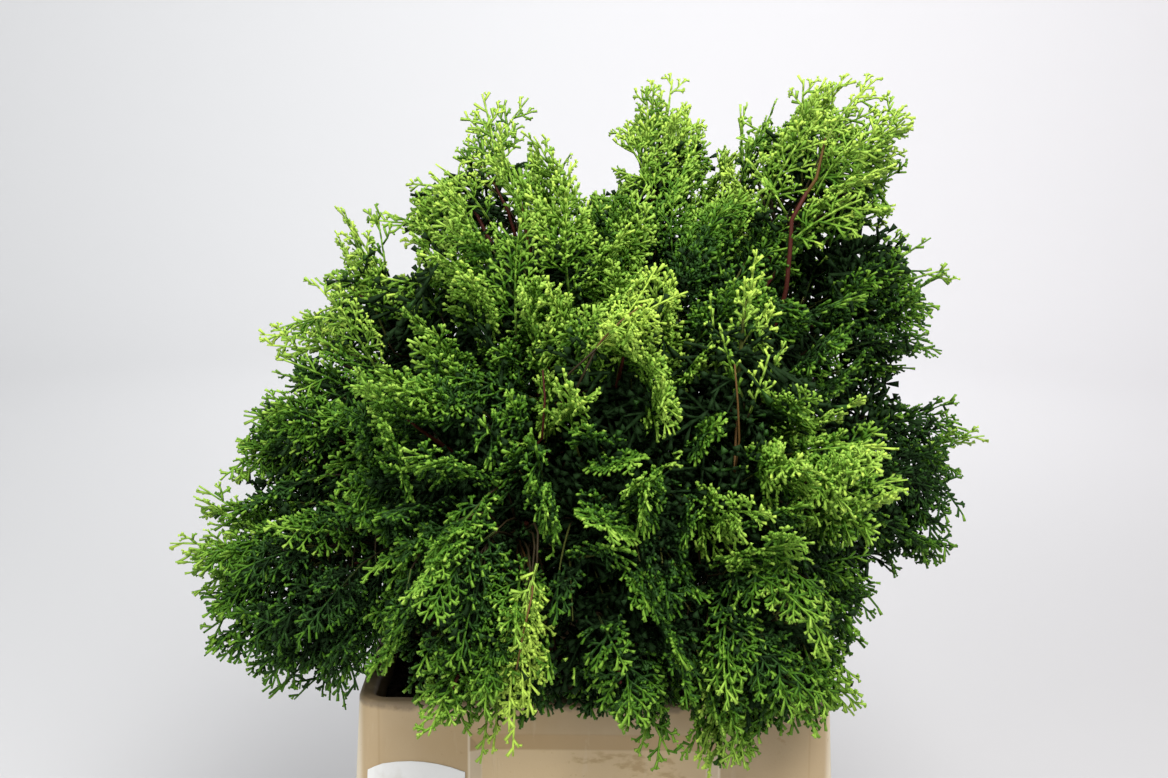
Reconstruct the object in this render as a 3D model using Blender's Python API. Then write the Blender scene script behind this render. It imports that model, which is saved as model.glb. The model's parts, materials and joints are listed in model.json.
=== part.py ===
"""A bushy potted thuja in a cream rectangular tub, in metres.

Nine slender stems rise from the soil of the tub. Each ends in a mass of flat, fan-like sprays, and most
carry boughs that end in further masses. X runs to the right and Y to the back, as the plant is looked
at from its front. The origin is the middle of the tub's flat underside.
"""

import math
import random
from dataclasses import dataclass

import bmesh
import bpy
from mathutils import Matrix, Quaternion, Vector
from mathutils.bvhtree import BVHTree

CLEARANCE = 0.0003
UP = Vector((0.0, 0.0, 1.0))

# The tub: a rounded rectangle that stands a little wider at its foot
TUB_WIDTH = 0.390
TUB_DEPTH = 0.290
TUB_HEIGHT = 0.300
TUB_FLARE = 0.015
TUB_CORNER = 0.024
CORNER_STEPS = 6
WALL = 0.009
FLOOR = 0.008
RIM_WIDTH = 0.014
RIM_HEIGHT = 0.010
RIM_ROUND = 0.0025
FOOT_ROUND = 0.004

# The shallow panel in the middle of each wall
PANEL_WIDE = 0.205
PANEL_NARROW = 0.120
PANEL_BELOW_RIM = 0.027
PANEL_ABOVE_FOOT = 0.040
PANEL_DEPTH = 0.0045
PANEL_SIDE_BEVEL = 0.010
PANEL_TOP_BEVEL = 0.014
CUTTER_PROUD = 0.002

# The blank paper label on the front wall, round the left corner
LABEL_TOP = 0.250
LABEL_SHOULDER = 0.009
LABEL_FOOT = 0.178
LABEL_RIGHT = -0.106
LABEL_COLUMNS = 6
LABEL_CORNER_FACETS = 2
LABEL_THICKNESS = 0.0004

# The soil, a little below the rim
SOIL_TOP = TUB_HEIGHT - 0.045

# The stems: the root flare at the foot, and how far the curve runs straight up and straight in
STEM_FOOT_RADIUS = 0.0062
STEM_TIP_RADIUS = 0.0024
STEM_RINGS = 6
STEM_SIDES = 6
STEM_LEAVE = 0.38
STEM_ARRIVE = 0.34
FLARE_HEIGHT = 0.022
FLARE_KNEE = 0.35
FLARE_AT_FOOT = 1.9
FLARE_AT_KNEE = 1.3

# The boughs: their slope sets where they fork off
BOUGH_FOOT_RADIUS = 0.0034
BOUGH_TIP_RADIUS = 0.0020
BOUGH_RINGS = 5
BOUGH_SIDES = 5
BOUGH_LEAN = math.radians(52.0)
BOUGH_SLOPE = 0.62
BOUGH_LEAVE = 0.33
BOUGH_ARRIVE = 0.36
LOWEST_FORK = SOIL_TOP + 0.040
FORK_RING = 3
FORK_STEPS = 5
SEAT_STEPS = 8

# The rule that every mass of foliage grows by; shares are of the mass's radius or of a length
SEED = 41
GOLDEN_ANGLE = math.radians(137.508)
CROWN_HEART = Vector((0.0, 0.0, 0.40))
LEADER_BEFORE = 0.72
LEADER_STEP = 0.04
LEADER_AFTER = 0.62
LEADER_SAG = 0.10
LEADER_LEAVE = 0.40
LEADER_ARRIVE = 0.30
LEADER_RINGS = 3
LEADER_SIDES = 4
LEADER_TIP_RADIUS = 0.0012
LEADER_ROOM = 0.004

TWIG_FOOT_RADIUS = 0.0016
TWIG_TIP_RADIUS = 0.0009
TWIG_SIDES = 3
TWIG_SHARE = 0.50
TWIG_SHRINK = (1.0, 0.75, 0.5, 0.3)
FORK_MIDDLE = 0.48
FORK_SPREAD = 0.42

SPRAYS = 8
SPRAYS_SWEEP = 1.40
SPRAY_BACK = 0.12
SPRAY_FORWARD = 0.55
SPRAY_UPWARD = 0.30
SPRAY_LONGEST = 0.096
SPRAY_SHORTEST = 0.024
SPRAY_WIDTH = 0.56
SPRAY_THICKNESS = 0.030
SPRAY_EDGE = ((0.38, 1.00), (0.52, 0.50), (0.76, 0.66))
SPRAY_EDGE_OFFSET = 0.06
SPRAY_NECK = 0.05
SPRAY_RIB = (0.06, 0.54)
SPRAY_ROOT = 0.0012
SPRAY_DROOP = 0.16
SPRAY_DROOP_RANGE = (0.3, 1.5)
SPRAY_SCATTER = 0.35
SPRAY_SHRINK = (1.0, 0.84, 0.68, 0.52)

CORE_SHARE = 0.74
CORE_BEHIND = 0.45
CORE_LUMPS = (0.78, 1.0)
CORE_SHRINK = (1.0, 0.9, 0.8, 0.7, 0.6, 0.5)
CORE_SUBDIVISIONS = 1
CORE_MARGIN = 0.002
CORE_HOLD_BACK = 0.85

# The room that a mass may use
REACH = 1.06
REACH_LEAST = 0.92
TIP_REACH = 1.16
CELL_MARGIN = 0.0008
LIMB_GUARD = 0.0012
TUB_GUARD = 0.003


@dataclass(frozen=True)
class Finish:
    """A plain material."""

    name: str
    colour: tuple
    roughness: float


CREAM_PLASTIC = Finish("cream_plastic", (0.60, 0.49, 0.36), 0.50)
BLANK_PAPER = Finish("blank_paper", (0.80, 0.80, 0.78), 0.70)
DARK_SOIL = Finish("dark_soil", (0.030, 0.020, 0.013), 0.95)
RED_BARK = Finish("red_bark", (0.13, 0.040, 0.022), 0.80)
DEEP_GREEN = Finish("deep_green", (0.018, 0.070, 0.018), 0.60)
FRESH_GREEN = Finish("fresh_green", (0.065, 0.180, 0.025), 0.55)
TIP_GREEN = Finish("tip_green", (0.150, 0.290, 0.045), 0.55)


@dataclass(frozen=True)
class Mass:
    """One mass of foliage: a ball of a named size at a place round the tub's middle.

    The azimuth is 0 at the right and -90 at the front, and the rise is its leader's slope above the
    level, both in degrees. A slim mass is narrower across its leader than along it.
    """

    name: str
    azimuth: float
    out: float
    height: float
    radius: float
    rise: float
    finish: Finish
    slim: float = 1.0

    @property
    def centre(self):
        """The middle of the ball."""
        turn = math.radians(self.azimuth)
        return Vector((self.out * math.cos(turn), self.out * math.sin(turn), self.height))

    @property
    def direction(self):
        """The way that its leader grows."""
        turn = math.radians(self.azimuth)
        rise = math.radians(self.rise)
        return Vector((math.cos(turn) * math.cos(rise), math.sin(turn) * math.cos(rise), math.sin(rise)))

    def on_shell(self, way, share):
        """The point at a share of the way from the centre to the mass's surface."""
        along = self.direction * way.dot(self.direction)
        return self.centre + (along + (way - along) * self.slim) * self.radius * share

    def within(self, point, reach):
        """Whether a point is inside the mass's surface, grown by a factor."""
        offset = point - self.centre
        along = self.direction * offset.dot(self.direction)
        across = (offset - along) / self.slim
        return along.length_squared + across.length_squared < (reach * self.radius) ** 2


@dataclass(frozen=True)
class Stem:
    """One stem: the place of its foot, the mass that it ends in and the masses that its boughs carry."""

    name: str
    foot_azimuth: float
    foot_out: float
    leader: str
    boughs: tuple

    @property
    def foot(self):
        """The middle of its flat cut, just clear of the soil."""
        turn = math.radians(self.foot_azimuth)
        x = self.foot_out * math.cos(turn)
        y = self.foot_out * math.sin(turn)
        return Vector((x, y, SOIL_TOP + CLEARANCE))


MASSES = (
    Mass("right_top", 12, 0.192, 0.716, 0.096, 62, FRESH_GREEN),
    Mass("right_shoulder", 15, 0.226, 0.598, 0.102, 32, DEEP_GREEN),
    Mass("right_wing", 12, 0.262, 0.446, 0.098, 6, DEEP_GREEN),
    Mass("right_low", 0, 0.172, 0.372, 0.088, -4, DEEP_GREEN),
    Mass("right_heart", -12, 0.128, 0.610, 0.104, 58, FRESH_GREEN),
    Mass("right_front", -48, 0.192, 0.484, 0.112, 28, FRESH_GREEN),
    Mass("right_front_low", -55, 0.230, 0.374, 0.100, -32, FRESH_GREEN),
    Mass("upright_shoot", -52, 0.180, 0.592, 0.080, 86, TIP_GREEN, 0.45),
    Mass("front_low", -86, 0.192, 0.394, 0.106, -18, DEEP_GREEN),
    Mass("front_heart", -88, 0.180, 0.474, 0.104, 16, DEEP_GREEN),
    Mass("front_middle", -84, 0.128, 0.560, 0.108, 42, FRESH_GREEN),
    Mass("middle_top", -155, 0.060, 0.640, 0.112, 80, FRESH_GREEN),
    Mass("middle_heart", 46, 0.078, 0.640, 0.098, 72, DEEP_GREEN),
    Mass("left_front", -132, 0.170, 0.510, 0.104, 40, FRESH_GREEN),
    Mass("left_front_low", -113, 0.222, 0.402, 0.104, -34, TIP_GREEN),
    Mass("left_low", -163, 0.254, 0.388, 0.106, -6, DEEP_GREEN),
    Mass("left_wing", 180, 0.226, 0.488, 0.108, 20, DEEP_GREEN),
    Mass("left_shoulder", 165, 0.200, 0.592, 0.106, 46, FRESH_GREEN),
    Mass("left_top", 136, 0.158, 0.682, 0.106, 56, FRESH_GREEN),
    Mass("back_top", 68, 0.140, 0.700, 0.096, 76, DEEP_GREEN),
    Mass("back_left", 140, 0.220, 0.532, 0.106, 30, DEEP_GREEN),
    Mass("back_left_low", 148, 0.234, 0.398, 0.106, -6, DEEP_GREEN),
    Mass("back_middle", 98, 0.188, 0.556, 0.116, 42, FRESH_GREEN),
    Mass("back_low", 95, 0.204, 0.412, 0.112, -6, DEEP_GREEN),
    Mass("back_right_top", 52, 0.210, 0.612, 0.100, 50, FRESH_GREEN),
    Mass("back_right", 40, 0.230, 0.492, 0.106, 25, DEEP_GREEN),
    Mass("back_right_low", 46, 0.232, 0.384, 0.102, -6, DEEP_GREEN),
)

STEMS = (
    Stem("right_stem", 20, 0.066, "right_top", ("right_shoulder", "right_wing", "right_low")),
    Stem("front_right_stem", -35, 0.050, "right_heart", ("upright_shoot", "right_front", "right_front_low")),
    Stem("front_stem", -88, 0.052, "front_middle", ("front_heart", "front_low")),
    Stem("middle_stem", -160, 0.012, "middle_top", ("middle_heart",)),
    Stem("front_left_stem", -130, 0.060, "left_front", ("left_front_low",)),
    Stem("left_stem", 178, 0.066, "left_shoulder", ("left_wing", "left_low")),
    Stem("back_left_stem", 135, 0.062, "left_top", ("back_left", "back_left_low")),
    Stem("back_stem", 92, 0.056, "back_top", ("back_middle", "back_low")),
    Stem("back_right_stem", 45, 0.062, "back_right_top", ("back_right", "back_right_low")),
)

MASS_NAMED = {mass.name: mass for mass in MASSES}


def clear_scene():
    """Removes whatever the scene holds."""
    for thing in list(bpy.data.objects):
        bpy.data.objects.remove(thing)


def material(finish):
    """The Principled material of a finish, made once."""
    made = bpy.data.materials.get(finish.name)
    if made is None:
        made = bpy.data.materials.new(finish.name)
        made.use_nodes = True
        shader = made.node_tree.nodes["Principled BSDF"]
        shader.inputs["Base Color"].default_value = (*finish.colour, 1.0)
        shader.inputs["Roughness"].default_value = finish.roughness
        shader.inputs["Metallic"].default_value = 0.0
    return made


def add_object(name, shape, finish, smooth_angle=None):
    """Puts a bmesh in the scene as an object with its finish, and frees the bmesh."""
    bmesh.ops.recalc_face_normals(shape, faces=shape.faces)
    mesh = bpy.data.meshes.new(name)
    shape.to_mesh(mesh)
    shape.free()
    mesh.materials.append(material(finish))
    if smooth_angle is not None:
        mesh.shade_smooth()
        mesh.set_sharp_from_angle(angle=math.radians(smooth_angle))
    thing = bpy.data.objects.new(name, mesh)
    bpy.context.scene.collection.objects.link(thing)
    return thing


def skin(shape, loops):
    """Closes a run of equal loops of points with side faces and two caps."""
    rings = []
    for loop in loops:
        rings.append([shape.verts.new(point) for point in loop])
    for low, high in zip(rings, rings[1:]):
        for k in range(len(low)):
            after = (k + 1) % len(low)
            shape.faces.new((low[k], low[after], high[after], high[k]))
    shape.faces.new(list(reversed(rings[0])))
    shape.faces.new(rings[-1])


def rounded_loop(grow, height, corner):
    """The tub's rounded rectangle at a height, grown evenly by a width."""
    flare = TUB_FLARE * (1.0 - height / TUB_HEIGHT)
    half_x = TUB_WIDTH / 2 + flare + grow
    half_y = TUB_DEPTH / 2 + flare + grow
    points = []
    for quarter, (side_x, side_y) in enumerate(((1, 1), (-1, 1), (-1, -1), (1, -1))):
        for step in range(CORNER_STEPS + 1):
            turn = math.radians(90.0 * (quarter + step / CORNER_STEPS))
            x = side_x * (half_x - corner) + corner * math.cos(turn)
            y = side_y * (half_y - corner) + corner * math.sin(turn)
            points.append(Vector((x, y, height)))
    return points


def panel_cutter(name, width, wall_half, turn):
    """The tapered block that sinks the panel in one wall."""
    lean = math.atan(TUB_FLARE / TUB_HEIGHT)
    foot = PANEL_ABOVE_FOOT
    top = TUB_HEIGHT - PANEL_BELOW_RIM
    shape = bmesh.new()
    loops = []
    for depth in (-CUTTER_PROUD, PANEL_DEPTH):
        taper = depth / PANEL_DEPTH
        half = width / 2 - taper * PANEL_SIDE_BEVEL
        low = foot + taper * PANEL_SIDE_BEVEL
        high = top - taper * PANEL_TOP_BEVEL
        wall_low = wall_half + TUB_FLARE * (1.0 - low / TUB_HEIGHT) - depth / math.cos(lean)
        wall_high = wall_half + TUB_FLARE * (1.0 - high / TUB_HEIGHT) - depth / math.cos(lean)
        loops.append([
            Vector((-half, -wall_low, low)),
            Vector((half, -wall_low, low)),
            Vector((half, -wall_high, high)),
            Vector((-half, -wall_high, high)),
        ])
    skin(shape, loops)
    bmesh.ops.rotate(shape, verts=shape.verts, cent=(0, 0, 0), matrix=Matrix.Rotation(turn, 3, "Z"))
    cutter = add_object(name, shape, CREAM_PLASTIC)
    cutter.hide_render = True
    cutter.display_type = "WIRE"
    return cutter


def make_tub():
    """The tub: walls, floor and a thick rim, with a shallow panel in each wall."""
    rim_foot = TUB_HEIGHT - RIM_HEIGHT
    outside = (
        (-FOOT_ROUND, 0.0),
        (0.0, FOOT_ROUND),
        (0.0, TUB_HEIGHT - RIM_ROUND),
        (-RIM_ROUND, TUB_HEIGHT),
    )
    inside = (
        (RIM_ROUND - RIM_WIDTH, TUB_HEIGHT),
        (-RIM_WIDTH, TUB_HEIGHT - RIM_ROUND),
        (-RIM_WIDTH, rim_foot),
        (-WALL, rim_foot - (RIM_WIDTH - WALL)),
        (-WALL, FLOOR),
    )
    loops = []
    for grow, height in outside + inside:
        loops.append(rounded_loop(grow, height, TUB_CORNER + grow))
    shape = bmesh.new()
    skin(shape, loops)
    tub = add_object("tub", shape, CREAM_PLASTIC, smooth_angle=40)
    walls = (
        ("front", PANEL_WIDE, TUB_DEPTH / 2, 0.0),
        ("right", PANEL_NARROW, TUB_WIDTH / 2, math.pi / 2),
        ("back", PANEL_WIDE, TUB_DEPTH / 2, math.pi),
        ("left", PANEL_NARROW, TUB_WIDTH / 2, -math.pi / 2),
    )
    for side, width, wall_half, turn in walls:
        cut = tub.modifiers.new(f"{side}_panel", "BOOLEAN")
        cut.operation = "DIFFERENCE"
        cut.solver = "EXACT"
        cut.object = panel_cutter(f"{side}_panel_cutter", width, wall_half, turn)
    return tub


def make_soil():
    """The soil that fills the tub up to a little below its rim, just clear of wall and floor."""
    shape = bmesh.new()
    inset = -WALL - CLEARANCE
    corner = TUB_CORNER + inset
    heights = (FLOOR + CLEARANCE, SOIL_TOP)
    skin(shape, [rounded_loop(inset, height, corner) for height in heights])
    return add_object("soil", shape, DARK_SOIL)


def label_columns(grow, height):
    """The points of the label's level edge: along the front wall, then round the left corner."""
    loop = rounded_loop(grow, height, TUB_CORNER + grow)
    corner_start = 3 * (CORNER_STEPS + 1) - 1
    start = loop[corner_start]
    points = []
    for column in range(LABEL_COLUMNS):
        share = column / LABEL_COLUMNS
        points.append(Vector((LABEL_RIGHT + (start.x - LABEL_RIGHT) * share, start.y, height)))
    for facet in range(LABEL_CORNER_FACETS + 1):
        points.append(loop[corner_start - facet])
    return points


def make_label():
    """The blank label: a thin sheet on the wall, its top edge a wide arch."""
    count = LABEL_COLUMNS + LABEL_CORNER_FACETS + 1
    sheets = []
    for grow in (CLEARANCE, CLEARANCE + LABEL_THICKNESS):
        foot = label_columns(grow, LABEL_FOOT)
        top = label_columns(grow, LABEL_TOP)
        for k in range(count):
            arch = (2.0 * k / (count - 1) - 1.0) ** 2
            drop = LABEL_SHOULDER * arch / (LABEL_TOP - LABEL_FOOT)
            top[k] = top[k].lerp(foot[k], drop)
        sheets.append((foot, top))
    shape = bmesh.new()
    loops = []
    for k in range(count):
        (foot_in, top_in), (foot_out, top_out) = sheets
        loops.append([foot_in[k], top_in[k], top_out[k], foot_out[k]])
    skin(shape, loops)
    return add_object("blank_label", shape, BLANK_PAPER)


def bezier(a, b, c, d, count):
    """Evenly numbered points along a cubic curve."""
    points = []
    for k in range(count):
        t = k / (count - 1)
        s = 1.0 - t
        points.append(a * s**3 + b * 3 * s * s * t + c * 3 * s * t * t + d * t**3)
    return points


def tube_loops(points, radii, sides, first=None, last=None):
    """Loops of points round a path, each square to it and turned no more than the path turns."""
    loops = []
    tangent = first or (points[1] - points[0]).normalized()
    across = tangent.orthogonal().normalized()
    for k, (point, radius) in enumerate(zip(points, radii)):
        if k > 0:
            ahead = points[min(k + 1, len(points) - 1)]
            fresh = (ahead - points[k - 1]).normalized()
            if last and k == len(points) - 1:
                fresh = last
            across = tangent.rotation_difference(fresh) @ across
            tangent = fresh
        other = tangent.cross(across)
        loop = []
        for side in range(sides):
            turn = 2.0 * math.pi * side / sides
            loop.append(point + radius * (across * math.cos(turn) + other * math.sin(turn)))
        loops.append(loop)
    return loops


def closed_tube(path, radii, sides, first=None):
    """The points and faces of a capped tube."""
    shape = bmesh.new()
    skin(shape, tube_loops(path, radii, sides, first))
    shape.verts.index_update()
    bmesh.ops.recalc_face_normals(shape, faces=shape.faces)
    points = [vert.co.copy() for vert in shape.verts]
    faces = [tuple(vert.index for vert in face.verts) for face in shape.faces]
    shape.free()
    return points, faces


@dataclass
class Limb:
    """One tapering limb: the points of its axis, the radius at each and its number of sides."""

    name: str
    points: list
    radii: list
    sides: int
    first: Vector
    last: Vector

    def loops(self, grown=0.0):
        """The loops of its surface, grown by a width."""
        radii = [radius + grown for radius in self.radii]
        return tube_loops(self.points, radii, self.sides, self.first, self.last)

    def surface(self):
        """The limb's surface, to measure distances to."""
        shape = bmesh.new()
        skin(shape, self.loops())
        tree = BVHTree.FromBMesh(shape)
        shape.free()
        return tree

    def build(self):
        """Puts the limb in the scene."""
        shape = bmesh.new()
        skin(shape, self.loops())
        return add_object(self.name, shape, RED_BARK, smooth_angle=60)


class Space:
    """The room that each mass keeps to: a cell round its centre, clear of every limb and of the tub."""

    def __init__(self):
        self.guard = None

    @staticmethod
    def holds(mass, points, reach):
        """Whether all the points lie in the mass's own cell and within its reach."""
        centre = mass.centre
        for point in points:
            own = (point - centre).length_squared
            if not mass.within(point, reach):
                return False
            for other in MASSES:
                if other is mass:
                    continue
                theirs = (point - other.centre).length_squared - other.radius**2
                room = 2.0 * CELL_MARGIN * (other.centre - centre).length
                if theirs - own + mass.radius**2 < room:
                    return False
        return True

    def fence(self, limbs):
        """Sets up the surfaces that no twig or spray may touch."""
        points = []
        faces = []
        tub_loops = []
        for height in (0.0, TUB_HEIGHT + TUB_GUARD):
            tub_loops.append(rounded_loop(TUB_GUARD, height, TUB_CORNER + TUB_GUARD))
        for loops in [tub_loops] + [limb.loops(LIMB_GUARD) for limb in limbs]:
            shape = bmesh.new()
            skin(shape, loops)
            offset = len(points)
            shape.verts.index_update()
            points += [vert.co.copy() for vert in shape.verts]
            faces += [[offset + vert.index for vert in face.verts] for face in shape.faces]
            shape.free()
        self.guard = BVHTree.FromPolygons(points, faces)

    def room(self, mass, way, wanted):
        """How far the mass's own space runs from its centre, up to the distance wanted."""
        centre = mass.centre
        far = wanted
        for other in MASSES:
            between = other.centre - centre
            along = way.dot(between)
            if other is mass or along <= 0.0:
                continue
            span = between.length
            plane = span**2 - other.radius**2 + mass.radius**2 - 2.0 * CORE_MARGIN * span
            far = min(far, plane / (2.0 * along))
        hit = self.guard.ray_cast(centre, way, far)
        if hit[0] is not None:
            far = hit[3] * CORE_HOLD_BACK
        return far

    def touches(self, points, faces):
        """Whether a surface meets a limb or the tub."""
        return bool(self.guard.overlap(BVHTree.FromPolygons(points, faces)))


def entry(mass):
    """Where the limb hands over to the mass's leader: as far back as the mass's cell allows."""
    share = LEADER_BEFORE
    while share > 0.0:
        point = mass.centre - mass.direction * mass.radius * share
        probe = tube_loops([point, mass.centre], [LEADER_ROOM] * 2, LEADER_SIDES)[0]
        if Space.holds(mass, probe, REACH):
            return point
        share -= LEADER_STEP
    return mass.centre.copy()


def along(path, share):
    """The point at a share of the way along a path."""
    place = share * (len(path) - 1)
    step = min(int(place), len(path) - 2)
    return path[step].lerp(path[step + 1], place - step)


def limb_radii(foot, tip, count):
    """Radii that fall evenly along a limb."""
    return [foot + (tip - foot) * k / (count - 1) for k in range(count)]


def stem_limb(stem):
    """A stem from its flared flat foot to its leader mass."""
    mass = MASS_NAMED[stem.leader]
    foot = stem.foot
    end = entry(mass)
    span = (end - foot).length
    count = STEM_RINGS
    leave = foot + UP * STEM_LEAVE * span
    arrive = end - mass.direction * STEM_ARRIVE * span
    points = bezier(foot, leave, arrive, end, count)
    points.insert(1, foot + UP * FLARE_HEIGHT * FLARE_KNEE)
    points.insert(2, foot + UP * FLARE_HEIGHT)
    taper = limb_radii(STEM_FOOT_RADIUS, STEM_TIP_RADIUS, count)
    flare = [STEM_FOOT_RADIUS * FLARE_AT_FOOT, STEM_FOOT_RADIUS * FLARE_AT_KNEE]
    radii = flare + [STEM_FOOT_RADIUS] + taper[1:]
    return Limb(stem.name, points, radii, STEM_SIDES, UP, mass.direction)


def seated(start, way, stem):
    """A bough's start, moved along its own line until its foot is just clear of the stem."""
    surface = stem.surface()
    for _ in range(SEAT_STEPS):
        foot = tube_loops([start, start + way], [BOUGH_FOOT_RADIUS] * 2, BOUGH_SIDES, way)[0]
        foot += [corner.lerp(after, 0.5) for corner, after in zip(foot, foot[1:] + foot[:1])]
        gap = min(surface.find_nearest(point)[3] for point in foot)
        start = start - way * (gap - CLEARANCE)
    return start


def fork_on(stem, end):
    """Where a bough to that end forks off the stem: the point, and the stem's radius and run there."""
    best = None
    for ring in range(FORK_RING, len(stem.points) - 1):
        for step in range(FORK_STEPS):
            share = step / FORK_STEPS
            point = stem.points[ring].lerp(stem.points[ring + 1], share)
            radius = stem.radii[ring] + (stem.radii[ring + 1] - stem.radii[ring]) * share
            level = Vector((end.x - point.x, end.y - point.y, 0.0)).length
            wanted = max(end.z - BOUGH_SLOPE * level, LOWEST_FORK)
            miss = abs(point.z - wanted)
            if best is None or miss < best[0]:
                run = (stem.points[ring + 1] - stem.points[ring]).normalized()
                best = (miss, point, radius, run)
    return best[1:]


def bough_limb(stem, mass):
    """A bough from just clear of its stem to its mass."""
    end = entry(mass)
    point, stem_radius, run = fork_on(stem, end)
    outward = end - point
    outward = (outward - run * outward.dot(run)).normalized()
    way = run * math.cos(BOUGH_LEAN) + outward * math.sin(BOUGH_LEAN)
    clear = stem_radius + CLEARANCE + BOUGH_FOOT_RADIUS * math.cos(BOUGH_LEAN)
    start = seated(point + way * clear / math.sin(BOUGH_LEAN), way, stem)
    span = (end - start).length
    leave = start + way * BOUGH_LEAVE * span
    arrive = end - mass.direction * BOUGH_ARRIVE * span
    points = bezier(start, leave, arrive, end, BOUGH_RINGS)
    radii = limb_radii(BOUGH_FOOT_RADIUS, BOUGH_TIP_RADIUS, BOUGH_RINGS)
    return Limb(f"{mass.name}_bough", points, radii, BOUGH_SIDES, way, mass.direction)


def spray_shape(length, droop):
    """A toothed blade along X, thickest on its midrib: its points and its faces."""
    width = SPRAY_WIDTH * length
    root = -SPRAY_ROOT / length
    outline = [(root, -SPRAY_NECK)]
    outline += [(share, -across) for share, across in SPRAY_EDGE]
    outline += [(1.0, 0.0)]
    outline += [(share + SPRAY_EDGE_OFFSET, across) for share, across in reversed(SPRAY_EDGE)]
    outline += [(root, SPRAY_NECK)]
    points = [Vector((share * length, across * width, 0.0)) for share, across in outline]
    count = len(points)
    for side in (1.0, -1.0):
        for share in SPRAY_RIB:
            points.append(Vector((share * length, 0.0, side * SPRAY_THICKNESS * length / 2.0)))
    for point in points:
        point.z -= droop * point.x**2 / length
    faces = []
    last = count - 1
    for low, high, flip in ((count, count + 1, False), (count + 2, count + 3, True)):
        side_faces = [(last, 0, low), (0, 1, low), (last - 1, last, low)]
        side_faces += [(low, 1, high), (low, high, last - 1)]
        side_faces += [(k, k + 1, high) for k in range(1, last - 1)]
        for face in side_faces:
            faces.append(tuple(reversed(face)) if flip else face)
    return points, faces


def placed(points, origin, way, normal):
    """Points laid along a direction, their Z on a normal."""
    normal = (normal - way * normal.dot(way)).normalized()
    across = normal.cross(way)
    turn = Matrix((way, across, normal)).transposed()
    return [origin + turn @ point for point in points]


def scattered(rng, spread):
    """A small random vector."""
    return Vector((rng.uniform(-1, 1), rng.uniform(-1, 1), rng.uniform(-1, 1))) * spread


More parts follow.
